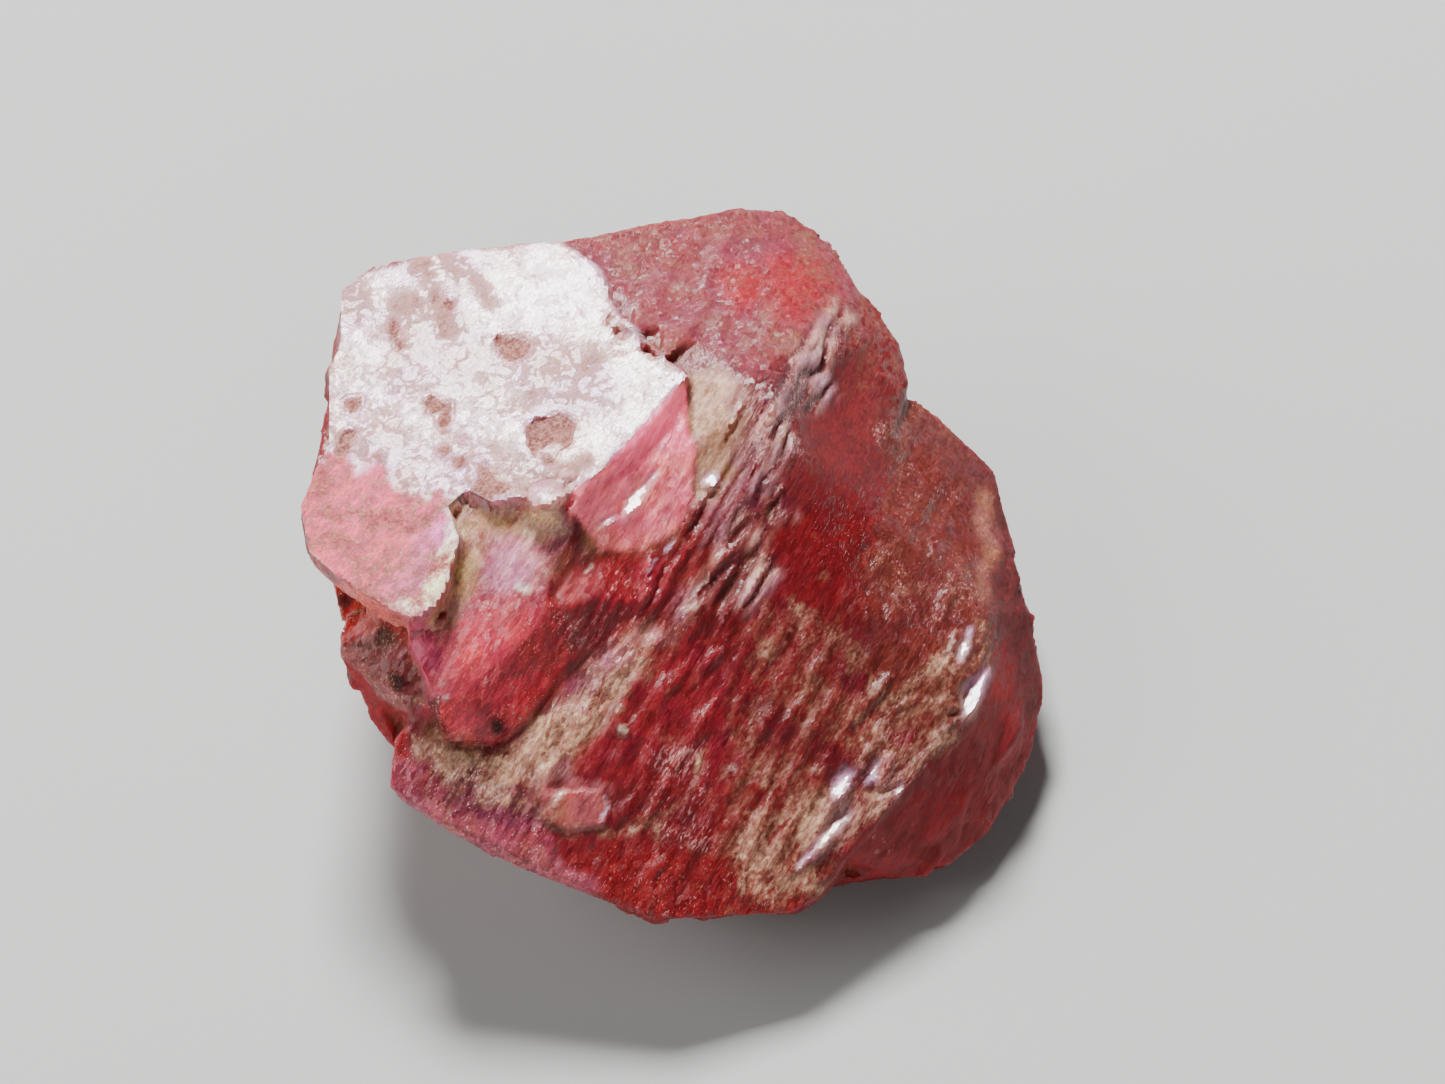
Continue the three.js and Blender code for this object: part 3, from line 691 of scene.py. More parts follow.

# %% [markdown]
# The back is rosy and the lobe brownish, with a rim where it turns away that is painted dark as
# shade, and a yellow band inside that. Folds are painted dark in their valleys as shade, and pale on
# their crowns, partly because they are frayed and partly as painted glints.

# %% The outer faces and the middle
bright_back = np.maximum(spot(3.04, 8.98, 0.92, 0.6), spot(1.63, 9.05, 0.58, 0.6))
shaded_far_rim = vein([(6.69, 5.74), (7.54, 4.77), (8.05, 3.75), (8.39, 2.29), (8.44, 0.83)], 0.58, 0.8)
frayed_glinting_streak = vein([(1.53, 4.6), (1, 3.02), (0.56, 1.92), (0.12, 1.02)], 0.27, 0.8)
wash((0.30, 0.045, 0.062), back_face)
wash((0.42, 0.015, 0.025), back_face * bright_back)
wash((0.205, 0.003, 0.007), hollow)
wash((0.175, 0.023, 0.016), 0.9 * lobe)
# Painted shade on the far rim of the lobe, where it turns away from the lamps.
wash((0.13, 0.008, 0.009), 0.65 * shaded_far_rim)
wash((0.50, 0.20, 0.11), 0.6 * vein([(7.57, 3.75), (7.69, 2.77), (7.57, 1.51)], 0.22, 0.7))
wash((0.32, 0.007, 0.010), low_right)
wash((0.27, 0.004, 0.008), bottom)
# Painted shade in the valleys of the folds, then pale crowns: fray and painted glints.
wash((0.16, 0.020, 0.030), 0.8 * folds * smooth(0.6, 0.2, coarse_pleats))
wash((1.0, 0.56, 0.50), 0.85 * folds * smooth(0.25, 0.9, coarse_pleats))
# Pale on the crowns of the fine pleats: partly fray, partly painted glints.
wash((0.75, 0.34, 0.32), 0.6 * frayed_glinting_streak * smooth(0.1, 0.7, fine_pleats))
wash((0.68, 0.38, 0.25), 0.9 * tan_patch)
wash((0.40, 0.16, 0.10), 0.7 * tan_patch * smooth(0.0, 0.4, blotch))
show_ground()

# %% The valley and the block in front of it
lilac_streak = vein([(-2.8, -1.12), (-1.82, -0.34), (-0.85, 0.34)], 0.39, 0.8)
dark_block = patch([(-5.72, -2.7), (-3.77, -3.11), (-3.16, -3.92), (-4.26, -4.09), (-5.47, -3.43)], 0.25)
block_rim = vein([(-6.08, -3.55), (-5.23, -4.09), (-4.26, -4.65), (-2.8, -5.16), (-2.07, -5.45)], 0.24)
wash((0.80, 0.40, 0.26), 0.85 * valley * smooth(-0.4, 0.15, blotch))
wash((0.70, 0.28, 0.34), 0.6 * valley * lilac_streak)
wash((0.36, 0.045, 0.075), block)
wash((0.19, 0.03, 0.055), 0.8 * dark_block)
wash((0.50, 0.10, 0.14), 0.8 * block_rim)
show_ground()

# %% [markdown]
# The lower plate goes from a pale pink under the rim, partly painted sheen, to a clear red at the
# ledge, which is the brightest red of the stone, because it is thin there and light comes through
# from behind.

# %% The lower plate and the ledge
pale_sheen_middle = patch([
    (-4.38, 3.45), (-2.63, 3.55), (-2.9, 2.29), (-3.28, 1.51), (-4.14, 1.56), (-4.5, 2.29),
], 0.4)
ledge_foot = vein([(-5.43, -2.14), (-4.21, -2.04), (-3.48, -1.41), (-2.75, -0.54), (-2.19, 0.22)], 0.17)
wash((0.36, 0.035, 0.07), lower_plate)
# The pale middle of the lower plate is partly a painted sheen.
wash((0.62, 0.17, 0.25), lower_plate * pale_sheen_middle)
wash((0.62, 0.02, 0.055), lower_plate * smooth(1.9, 0.5, up))
wash((1.0, 0.035, 0.075), ledge)
wash((0.50, 0.020, 0.045), 0.85 * seam)
wash((0.45, 0.03, 0.03), 0.8 * ledge * smooth(0.1, -0.45, blotch))
wash((0.40, 0.13, 0.06), 0.6 * ledge_foot * smooth(-0.3, 0.2, blotch))
show_ground()

# %% The bevel and the dark strip below it
red_strands = smooth(0.0, 0.35, swell(along_grain(1.0, 0.4), 66) + 0.25 * blotch)
upper_strip = patch([
    (-2.43, 2.38), (-0.49, 2.48), (0.36, 2.77), (0.61, 1.92), (-0.24, 1.31), (-1.82, 1.31), (-2.92, 1.36),
], 0.3)
lower_strip = patch([
    (-3.16, 1.22), (-2.43, 2.38), (-0.49, 2.38), (-0.24, 1.31), (-0.85, 0.78), (-2.07, -0.15),
    (-2.8, 0.34),
], 0.35)
# The bevel is painted a bright rose: partly its own colour, partly painted light coming through its thin
# edge, most at its upper end.
wash((1.0, 0.24, 0.25), bevel)
wash((0.62, 0.06, 0.06), 0.8 * bevel * red_strands * smooth(4.9, 4.3, up))
wash((1.0, 0.17, 0.30), bevel * smooth(4.6, 5.2, up))
wash((0.46, 0.22, 0.08), 0.6 * spot(-1.87, 2.82, 0.39) * (1 - plate))
wash((0.36, 0.13, 0.07), 0.5 * bevel_foot * (1 - plate))
wash((0.29, 0.011, 0.020), 0.95 * upper_strip)
# The strip below is painted a little lighter than the ground: partly its own crimson, partly painted light
# lifting the shade on its steep wall.
wash((0.36, 0.009, 0.022), 0.9 * lower_strip)
show_ground()

# %% [markdown]
# The plate itself is painted a pale rose, partly its own milky colour and partly painted sheen,
# which the lamp turns white. The haze on its lobe deepens from pink at the top to crimson at the
# tip, and a cream crust lies along its right edge.

# %% The plate and what lies under it
cream_crust = vein([(-5.23, 3.63), (-5.28, 2.77), (-5.57, 1.92), (-5.96, 1.31), (-6.5, 1.14)], 0.24)
pink_wall = patch([
    (-6.35, 0.78), (-5.72, 1.17), (-5.28, 0.34), (-5.33, -0.78), (-5.77, -1.17), (-6.4, -0.19),
], 0.25)
# The plate's pale rose: its own milky colour, raised as a painted sheen.
wash((0.88, 0.56, 0.63), plate)
wash((0.66, 0.30, 0.31), 0.5 * etched_bands)
wash((0.82, 0.12, 0.33), lobe_haze)
wash((0.48, 0.04, 0.14), 0.9 * lobe_haze * smooth(3.6, 2.2, up))
wash((0.60, 0.03, 0.075), lobe_haze * smooth(-7.0, -8.6, across - 0.6 * up))
wash((0.85, 0.48, 0.36), 0.8 * cream_crust)
wash((0.88, 0.11, 0.09), under)
# The wall under the lobe: partly its own dusky pink, partly painted light lifting its shade.
wash((0.85, 0.13, 0.22), 0.75 * (1 - plate) * pink_wall)
wash((0.38, 0.07, 0.065), 0.85 * shelf)
wash((0.30, 0.002, 0.008), shard)
show_ground()

# %% [markdown]
# ## Marks of their own
#
# Small things catch the eye first: the floors of the pits, the beads, which are painted white as a
# highlight, with dark rings round them, two fine cracks, the step under the rim with its ochre line,
# which is partly painted light on its shaded wall, a square clear flake with painted highlights on
# two of its edges and a white crumb beside it, and a few black spots of manganese oxide. The far
# right edge is painted dark as shade. Each is a wash on a small mask.

# %% Pits, beads, cracks and the step
OCHRE = (0.34, 0.14, 0.06)
red_window = patch([
    (-2.8, -0.88), (-0.85, 0.34), (1.09, 0.1), (1.58, -2.09), (0.36, -3.31), (-1.82, -3.07),
    (-3.16, -1.97),
], 0.7)
shaded_right_edge = vein([(8.2, 1.8), (8.64, 0.34), (8.83, -1.12)], 0.54, 0.6)
rings = np.max([spot(x, y, 1.4 * radius, 0.15) for x, y, radius in beads], axis=0)
crack = np.maximum(
    vein([(-3.82, 4.96), (-3.6, 4.48), (-3.26, 4.26), (-2.9, 4.33)], 0.06),
    vein([(-2.9, 4.33), (-2.51, 4.04), (-2.41, 3.7)], 0.06),
)
step_wall = (1 - plate) * patch([
    (-5.62, 3.99), (-4.74, 4.23), (-3.53, 3.99), (-2.65, 3.8), (-2.65, 3.02), (-3.53, 2.9), (-4.26, 2.65),
    (-4.7, 2.29), (-4.99, 1.31), (-5.43, 0.34), (-5.82, 0.34), (-5.72, 1.31),
], 0.2)
wash((0.30, 0.008, 0.020), 0.6 * red_window)
# Painted shade on the far right edge, where the stone turns away from the lamps.
wash((0.14, 0.006, 0.008), 0.8 * shaded_right_edge)
wash((0.36, 0.10, 0.075), pitted)
wash((0.40, 0.13, 0.11), 0.8 * plate * rings)
# The beads are painted white: a painted highlight.
wash((0.92, 0.62, 0.66), smooth(0.05, 0.15, round_beads))
wash((0.24, 0.07, 0.06), 0.8 * crack)
# The step wall is painted tan, partly its ochre crust and partly painted light that lifts its shade.
wash((0.72, 0.36, 0.22), step_wall * (1 - smooth(0.90, 0.97, normals @ cleavage)))
wash((0.50, 0.20, 0.10), 0.75 * ochre_band)
wash(OCHRE, 0.6 * vein([(-4.99, 3.45), (-5.04, 2.65), (-5.28, 1.8), (-5.64, 1.12)], 0.12))
show_ground()

# %% The clear flake, the painted highlights on its edges, and its crumb
flake = patch([
    (-3.07, -3.31), (-1.7, -3.24), (-1.58, -3.55), (-1.73, -4.14), (-2.55, -4.21), (-3.09, -3.84),
], 0.08)
above_flake = patch([(-3.7, -2.68), (-2.43, -2.58), (-2.36, -3.19), (-3.53, -3.31)], 0.15)
flake_edge_highlight = np.maximum(
    vein([(-3.02, -3.63), (-2.85, -3.41), (-2.6, -3.31)], 0.05),
    vein([(-1.75, -3.36), (-1.63, -3.65), (-1.68, -3.94)], 0.05),
)
flake_top = vein([(-3.14, -3.26), (-2.43, -3.19), (-1.63, -3.16)], 0.15, 0.4)
wash((0.50, 0.12, 0.10), 0.85 * flake)
wash((0.55, 0.24, 0.22), 0.6 * above_flake)
wash((0.75, 0.58, 0.42), spot(-1.29, -1.80, 0.12, 0.3))
# Painted highlights on two edges of the flake.
wash((1.0, 0.80, 0.74), 0.3 * flake_edge_highlight)
wash((0.34, 0.04, 0.04), 0.8 * flake_top)
show_ground()

# %% Black spots, and ochre in the hollows
SOOT = (0.02, 0.008, 0.005)
spots = [
    (-8.03, 1.27, 0.22), (-6.98, 0.49, 0.22), (-6.72, -0.61, 0.19), (-4.23, -1.65, 0.17), (-7.62, 1.02, 0.12),
]
dark_line = vein([(-5.77, -1.17), (-5.6, -1.73), (-5.23, -2.14), (-4.79, -2.58)], 0.10)
soot = np.max([spot(x, y, radius) for x, y, radius in spots] + [0.8 * dark_line], axis=0)
wash(SOOT, 0.92 * soot)
wash(OCHRE, 0.4 * hollows * (1 - plate) * (1 - hollow) * facing)
show_ground()

# %% [markdown]
# ## What covers the ground
#
# Two things lie over it: a tan film of weathered mineral, and pale silky streaks, partly where the
# splinters are frayed and partly painted sheen of small facets that catch the lamp. Only how much of
# each there is goes on the points. The material breaks it up into specks and hairs that are finer
# than the skin.

# %% How much film, and how much silk and painted sheen
film = 0.22 + 0.25 * blotch + 0.12 * hollows
silk_and_sheen = 0.18 + 0.2 * swell(along_grain(2.5, 0.9), 65)


def cover(field, amount, mask):
    """Brings a field to an amount, give or take some blotches, where the mask is 1."""
    field[:] = field * (1 - mask) + (amount + 0.35 * blotch) * mask


right_half = patch([
    (2.07, 1.31), (4.99, 1.56), (5.47, -2.09), (4.5, -3.31), (3.04, -4.77), (1.58, -4.77), (1.09, -3.07),
    (1.58, -0.63),
], 0.6)
film_on_block = vein([(-6.08, -2.14), (-4.99, -2.92), (-3.77, -3.55), (-2.9, -3.84)], 0.32, 0.7)
branch = vein([(0.66, -2.29), (0.56, -2.87), (0.32, -3.43), (-0.36, -3.97), (-0.49, -5.01)], 0.10, 0.9)
side_branch = vein([(-2.8, -4.04), (-1.34, -4.28), (-0.36, -3.92)], 0.17)
sandy_foot = patch([(1.09, -4.4), (4.01, -3.31), (3.77, -5.86), (1.34, -6.11)], 0.5)
tan_streak = vein([(2.92, 1.19), (4.26, 0.1), (5.11, -1.24), (6.33, -0.15)], 0.24, 0.7)
for amount, mask in [
    (0.47, right_half), (0.27, lobe), (0.36, back_face), (0.7, tan_patch), (0.74, valley),
    (0.3, block), (0.62, film_on_block), (0.17, hollow), (0.6, branch), (0.5, side_branch),
    (0.16, streaks), (0.3, folds), (0.0, low_right), (0.42, shelf), (0.35, under),
    (0.15, lower_plate), (0.22, ledge), (0.15, bevel), (0.0, plate), (0.0, shard), (0.52, crest),
    (0.3, slope), (0.12, bottom), (0.6, sandy_foot), (0.62, tan_streak), (0.1, shaded_right_edge),
]:
    cover(film, amount, mask)

silky_sheen_front = patch([(-0.85, -2.09), (0.73, -1.97), (0.97, -5.5), (-0.61, -5.5)], 0.4)
for amount, mask in [
    (0.5, folds), (0.26, streaks), (0.42, silky_sheen_front), (0.5, crest), (0.12, hollow),
    (0.1, low_right), (0.1, bottom), (0.25, lobe), (0.1, back_face), (0.25, valley), (0.1, shelf),
    (0.28, lower_plate), (0.3, ledge), (0.45, bevel), (0.0, plate), (0.1, shard),
]:
    cover(silk_and_sheen, amount, mask)

clear_window = spot(-2.36, 1.80, 0.63)
silk_and_sheen *= 1 - 0.6 * np.maximum(clear_window, shaded_far_rim)
print("film:", share(film), "silk:", share(silk_and_sheen))

# %% [markdown]
# The large plate does not shine all over. Where it is clean it throws the lamp back, and where it
# is etched it only looks dusty, and the two lie in patches.

# %% Clean patches of the plate
clean_patches = [
    [
        (-5.47, 9.64), (-3.77, 10.07), (-2.43, 9.93), (-1.82, 9.34), (-1.58, 8.61), (-1.68, 7.76),
        (-2.19, 7.59), (-3.16, 7.88), (-4.26, 7.69), (-4.87, 8.08), (-5.18, 8.86),
    ],
    [
        (-8.39, 7.88), (-7.54, 8.18), (-6.98, 7.52), (-7.18, 6.67), (-6.81, 5.99), (-7.91, 5.57),
        (-8.52, 6.18),
    ],
    [
        (-7.06, 6.06), (-5.72, 6.3), (-4.26, 6.18), (-3.53, 5.89), (-3.48, 5.21), (-4.26, 4.91),
        (-5.23, 5.21), (-6.2, 5.4),
    ],
    [
        (-1.82, 7.93), (-0.61, 7.35), (0.41, 6.86), (0.12, 6.18), (-0.85, 5.4), (-1.82, 4.84),
        (-2.8, 4.23), (-3.09, 4.6), (-2.07, 5.45), (-1.22, 6.18),
    ],
    [(-7.66, 8.98), (-5.47, 9.64), (-5.35, 8.98), (-6.2, 8.61), (-7.3, 8.49)],
]
on_beads = smooth(0.0, 0.1, round_beads)
clean = np.max([patch(outline, 0.5) for outline in clean_patches] + [on_beads], axis=0) * plate
cleanness = 0.34 + 0.42 * clean + 0.15 * blotch - 0.35 * etched_bands
print("clean:", share(clean > 0.5), "of the skin")

# %% [markdown]
# The flashes are clean cuts, so they carry no film, and a pale wash with a little silk paints a
# highlight on them. Silk, with its painted sheen, follows the crowns of the fine pleats. Where the
# stone is sandy or broken it is speckled with small crystal splinters, each in a shade of its own,
# and the plate has hardly any of them.

# %% Painted highlights on the flashes, silk and sheen on the pleats, and speckle
film *= 1 - flash
silk_and_sheen = silk_and_sheen * (1 - flash) + 0.3 * flash
silk_and_sheen += 0.3 * (fine_pleats - PLEAT_MIDDLE) * np.clip(streaks + 0.5 * folds, 0, 1)
# A pale wash on the flashes: a painted highlight.
wash((0.85, 0.58, 0.60), 0.7 * flash)
speckle = 0.12 + 0.7 * valley + 0.5 * (block + shelf) + 0.5 * (ledge + under)
speckle += 0.3 * (lower_plate + bottom) + 0.1 * streaks
speckle = np.clip(speckle, 0, 1) * (1 - plate) + 0.4 * bevel + 0.3 * lobe_haze
print("speckle:", share(speckle))

# %% [markdown]
# Some faces are matt: the hazy lobe, the seam, the shard and most of what turns away from the
# front, which would mirror the pale floor if it were glossy. The thin upper end of the bevel
# glows a little, because light that went in behind it comes out there. Worn edges look pale, but
# not on the plates, whose edges are still sharp.

# %% Matt faces, glow and pale edges
dull = 0.7 * lobe_haze + 0.3 * lower_plate + 0.8 * flake_top + 0.5 * seam + 0.7 * clear_window
dull += 0.6 * hollow * smooth(3.0, 5.0, up) + shard + 0.6 * low_right + 0.4 * flank + 0.8 * shaded_far_rim
# On the upper part of the lower plate the haze is a painted sheen.
haze = lobe_haze + 0.35 * lower_plate * smooth(0.8, 1.8, up)
glow = smooth(0.3, 0.9, bevel) * (0.55 + 0.6 * smooth(4.2, 5.4, up))
still_sharp = np.clip(0.7 * np.maximum(lower_plate, ledge) + seam + flake_top, 0, 1)
pale_edges = edge_wear * (1 - 0.7 * plate) * (1 - still_sharp)
print("dull:", share(dull), "glow:", share(glow), "pale edges:", share(pale_edges))

# %% [markdown]
# A material can't see these columns of numbers, but it can read attributes of the mesh. Each
# field becomes one, with a value for every point.

# %% Store what the material reads
def store(name, values):
    """Keeps a number or a colour for each point of the skin."""
    if values.ndim == 1:
        layer = skin.attributes.new(name, "FLOAT", "POINT")
        layer.data.foreach_set("value", np.ascontiguousarray(values, np.float32))
    else:
        layer = skin.attributes.new(name, "FLOAT_COLOR", "POINT")
        with_alpha = np.c_[values, np.ones(len(values))]
        layer.data.foreach_set("color", with_alpha.astype(np.float32).ravel())


store("ground", ground)
store("plate", plate)
store("flat", np.maximum(flat, flash))
store("dull", np.clip(dull, 0, 1))
store("haze", np.clip(haze, 0, 1))
store("pitted", np.clip(pitted + ochre_band + soot, 0, 1))
store("etched", etched_bands)
store("glow", glow)
store("speckle", np.clip(speckle, 0, 1))
store("film", np.clip(film, 0, 1))
store("silk_and_sheen", np.clip(silk_and_sheen, 0, 1))
store("clean", cleanness)
store("edge_wear", pale_edges)
store("flash", flash)
print("attributes:", len(skin.attributes))

# %% [markdown]
# The skin goes back to metres. Its faces are shaded smooth, apart from edges that bend by more
# than 42 degrees, so steps and rims stay crisp while the facets of the remesh don't show.

# %% Back to metres, with crisp steps
CRISP = math.radians(42)
skin.vertices.foreach_set("co", (points * MM).ravel())
skin.update()
skin.shade_smooth()
skin.set_sharp_from_angle(angle=CRISP)
print("size of the skin, m:", [round(v, 4) for v in stone.dimensions])

# %% [markdown]
# ## Shader maths as plain expressions
#
# A long chain of Math nodes is hard to read. This small class stands for one socket, and writing
# `1 - mask` or `a * b` with it adds the nodes. Any other node comes from `node`, where `_0` means
# the node's first socket, `_1` its second, and a name means the socket of that name. A Mix node
# has sockets for every kind of value: number 6, number 7 and output 2 are the ones for colours.

# %% One class for sockets
class Wire:
    """A shader socket that can be used in sums."""

    tree = None

    def __init__(self, socket):
        self.socket = socket

    @classmethod
    def node(cls, kind, settings=None, output=0, **sockets):
        """Adds a node: its settings first, then values or links. Gives the output that is named."""
        made = cls.tree.nodes.new(kind)
        for name, value in (settings or {}).items():
            setattr(made, name, value)
        for name, value in sockets.items():
            key = int(name[1:]) if name[0] == "_" else name.replace("_", " ")
            if isinstance(value, Wire):
                cls.tree.links.new(value.socket, made.inputs[key])
            else:
                made.inputs[key].default_value = value
        return cls(made.outputs[output])

    def maths(self, operation, other=0.0):
        return Wire.node("ShaderNodeMath", {"operation": operation}, _0=self, _1=other)

    def __add__(self, other):
        return self.maths("ADD", other)

    def __radd__(self, other):
        return self.maths("ADD", other)

    def __sub__(self, other):
        return self.maths("SUBTRACT", other)

    def __rsub__(self, other):
        return Wire.node("ShaderNodeMath", {"operation": "SUBTRACT"}, _0=other, _1=self)

    def __mul__(self, other):
        return self.maths("MULTIPLY", other)

    def __rmul__(self, other):
        return self.maths("MULTIPLY", other)

    def rise(self, low, high):
        """0 below low, 1 above high, and a smooth rise between."""
        settings = {"interpolation_type": "SMOOTHSTEP"}
        return Wire.node("ShaderNodeMapRange", settings, _0=self, _1=low, _2=high, _3=0.0, _4=1.0)

    def mix(self, below, above):
        """The colour below where this is 0, and the colour above where it is 1."""
        blend = {"data_type": "RGBA", "clamp_factor": True}
        return Wire.node("ShaderNodeMix", blend, output=2, _0=self, _6=below, _7=above)


# %% Paint, and what was stored on the skin
def paint(*rgb):
    return (*rgb, 1.0)


def kept(name, output="Fac"):
    """What was stored on the skin: a number, or with the output Color a colour."""
    return Wire.node("ShaderNodeAttribute", {"attribute_name": name}, output=output)


# %% [markdown]
# ## The mineral
#
# Rhodonite is not painted: light goes in, turns red and comes out again a little further on. The
# Principled shader's subsurface part does that, with a radius that lets red travel furthest. On
# top comes the gloss of a clean cleavage, which is broken by film, pits and fine splinters.
#
# All its textures are noises in space, so they need no unwrapping. Most use the same stretched
# space as the splinters, and so every hair and fleck runs along the grain as well.

# %% Space for the textures
rhodonite = bpy.data.materials.new("rhodonite")
rhodonite.use_nodes = True
Wire.tree = rhodonite.node_tree
Wire.tree.nodes.clear()

where = Wire.node("ShaderNodeTexCoord", output="Object")
PER_MM = 1 / MM


def vector_maths(operation, output="Vector", **sockets):
    return Wire.node("ShaderNodeVectorMath", {"operation": operation}, output, **sockets)


def along(direction, size):
    """How far along a direction, in cells of the given size in millimetres."""
    return vector_maths("DOT_PRODUCT", "Value", _0=where, _1=tuple(direction)) * (PER_MM / size)


def grain_space(length, width):
    """Space in long cells that follow the grain."""
    lengthwise, crosswise, deep = along(grain, length), along(sideways, width), along(outward, width)
    return Wire.node("ShaderNodeCombineXYZ", _0=lengthwise, _1=crosswise, _2=deep)


def even_space(size):
    """Space in cells that are as long as they are wide."""
    return vector_maths("SCALE", _0=where, Scale=PER_MM / size)


def noise(space, detail, rough, twist=0.0, output="Fac"):
    """Cloudy noise, one blot to a cell. The output Color gives three noises at once."""
    return Wire.node("ShaderNodeTexNoise", output=output, Vector=space, Scale=1.0, Detail=detail,
                     Roughness=rough, Distortion=twist)


def covered(pattern, cover, soft):
    """Where a pattern lies over the ground, when so much of the ground is covered."""
    return ((pattern - 0.5) * 1.7 + cover).rise(0.5 - soft, 0.5 + soft)


# %% [markdown]
# The noises go from a millimetre down to a twentieth of one. Each is named for what it draws:
# hairs and flecks are long and thin, a veil and clouds are broad, and sparks and dust are finest.

# %% Noises
hairs = noise(grain_space(0.75, 0.09), 3.0, 0.6, 0.7)
flecks = noise(grain_space(0.15, 0.055), 2.0, 0.6, 0.4)
sparks = noise(grain_space(0.075, 0.045), 1.0, 0.6, 0.6)
clouds = noise(grain_space(0.7, 0.28), 4.0, 0.62, 0.5)
veil = noise(grain_space(0.75, 0.5), 5.0, 0.68, 0.4)
mottle = noise(grain_space(0.2, 0.11), 3.0, 0.62, 0.3)
dust = noise(even_space(0.065), 1.0, 0.6)
etch = noise(even_space(0.8), 5.0, 0.64, 0.5)
hue = noise(even_space(1.0), 2.0, 0.6)
print("nodes for the noises:", len(Wire.tree.nodes))

# %% [markdown]
# The crystal splinters are too small for the skin, so the material makes them from a Voronoi
# texture. It cuts space into cells and gives each a random colour. That colour is used twice: its
# red as a shade, and the whole as the direction in which the splinter leans.

# %% Small crystal splinters, each with a shade and a lean of its own
def crystals(space):
    """Space cut into crystals: the random colour of each, and its middle."""
    look = {"feature": "F1"}
    return [Wire.node("ShaderNodeTexVoronoi", look, output=wanted, Vector=space, Scale=1.0)
            for wanted in ("Color", "Position")]


splinter_space = grain_space(0.26, 0.10)
splinter_colour, splinter_middle = crystals(splinter_space)
from_middle = vector_maths("SUBTRACT", _0=splinter_space, _1=splinter_middle)
lean = vector_maths("SUBTRACT", _0=splinter_colour, _1=(0.5, 0.5, 0.5))
splinter_height = vector_maths("DOT_PRODUCT", "Value", _0=from_middle, _1=lean)
splinter_shade = Wire.node("ShaderNodeSeparateColor", output="Red", _0=splinter_colour)

# %% [markdown]
# The colour is built up in layers, in the order in which they lie on the stone: the ground with
# its slow changes of hue, the splinters, silk with its painted sheen, film, painted glints, grit, and
# last the pale edges. A layer that tints is multiplied, and one that covers is mixed in.

# %% Colour of the ground
def times(colour, other, amount=1.0):
    """One colour multiplied by another."""
    settings = {"data_type": "RGBA", "blend_type": "MULTIPLY"}
    return Wire.node("ShaderNodeMix", settings, output=2, _0=amount, _6=colour, _7=other)


plate_mask = kept("plate")
speckle = kept("speckle")
depths = (clouds * 0.5 + hairs * 0.5).rise(0.40, 0.62)
colour = kept("ground", "Color")
colour = times(colour, hue.rise(0.36, 0.64).mix(paint(1.0, 0.9, 1.18), paint(1.03, 1.05, 0.82)))
colour = times(colour, depths.mix(paint(0.70, 0.62, 0.68), paint(1.12, 1.1, 1.1)))
colour = times(colour, splinter_shade.mix(paint(0.6, 0.5, 0.55), paint(1.35, 1.5, 1.45)), speckle)

# %% Silk with its painted sheen, and film over it
SILK_AND_SHEEN = paint(0.82, 0.42, 0.40)
THIN_FILM, THICK_FILM = paint(0.25, 0.085, 0.042), paint(0.80, 0.47, 0.29)
threads = (1 - (hairs - 0.5).maths("ABSOLUTE") * 12).rise(0.0, 1.0)
silk_and_sheen_mask = covered(clouds * 0.4 + flecks * 0.6, kept("silk_and_sheen"), 0.14)
# Pale silk: frayed splinters, partly painted sheen.
colour = (silk_and_sheen_mask * (threads * 0.75 + 0.1)).mix(colour, SILK_AND_SHEEN)
film_mask = covered(veil * 0.65 + mottle * 0.35, kept("film"), 0.22)
film_tone = (kept("film") + mottle * 0.5).rise(0.70, 1.10).mix(THIN_FILM, THICK_FILM)
colour = (film_mask * (mottle * 1.1 + dust * 0.3)).mix(colour, film_tone)

# %% Painted glints, grit and pale edges
# Painted glints: tiny specks painted pale or orange where small facets would flash.
painted_glints = (sparks * 0.7 + clouds * 0.3).rise(0.60, 0.67) * speckle.rise(0.15, 0.7)
painted_glint_tone = hue.rise(0.44, 0.48).mix(paint(0.95, 0.34, 0.15), paint(0.95, 0.64, 0.60))
colour = (painted_glints * 0.7).mix(colour, painted_glint_tone)
grit = (mottle * 0.5 + dust * 0.5).rise(0.36, 0.64)
grit_tone = grit.mix(paint(0.78, 0.72, 0.74), paint(1.16, 1.16, 1.16))
colour = times(colour, grit_tone, 0.6 + speckle * 0.4)
colour = (kept("edge_wear") * 0.22).mix(colour, paint(0.62, 0.34, 0.33))
print("nodes so far:", len(Wire.tree.nodes))

# %% [markdown]
# The large plate has a story of its own. Rain and soil etched it, so only parts are still clean.
# Where it is etched, the surface is cut into rounded pebbles with dark gaps, which a Voronoi
# texture draws from the distance to the edges of its cells. Space is bent a little first, or the
# gaps would run straight. Grime then settles in the gaps, the etched patches and the pits.

# %% Clean and etched parts of the plate
clean_noise = etch * 0.5 + mottle * 0.3 + dust * 0.2
clean_mask = ((clean_noise - 0.5) * 2.4 + kept("clean")).rise(0.22, 0.78) * plate_mask
marks = etch.rise(0.57, 0.66) * plate_mask * (1 - clean_mask * 0.7)
bend = noise(even_space(0.4), 1.0, 0.5, output="Color")
bent_space = vector_maths("MULTIPLY_ADD", _0=bend, _1=(1.6, 1.6, 1.6), _2=even_space(0.42))
look = {"feature": "DISTANCE_TO_EDGE"}
pebble_edge = Wire.node("ShaderNodeTexVoronoi", look, Vector=bent_space, Scale=1.0)
in_gaps = (etch * 1.3 - 0.54 - pebble_edge + kept("etched") * 0.25).rise(-0.02, 0.08)
gaps = in_gaps * (1 - clean_mask * 0.45) * plate_mask
field = (etch - 0.5) * 3.0 + (mottle - 0.5) * 2.0 + (dust - 0.5) * 0.8
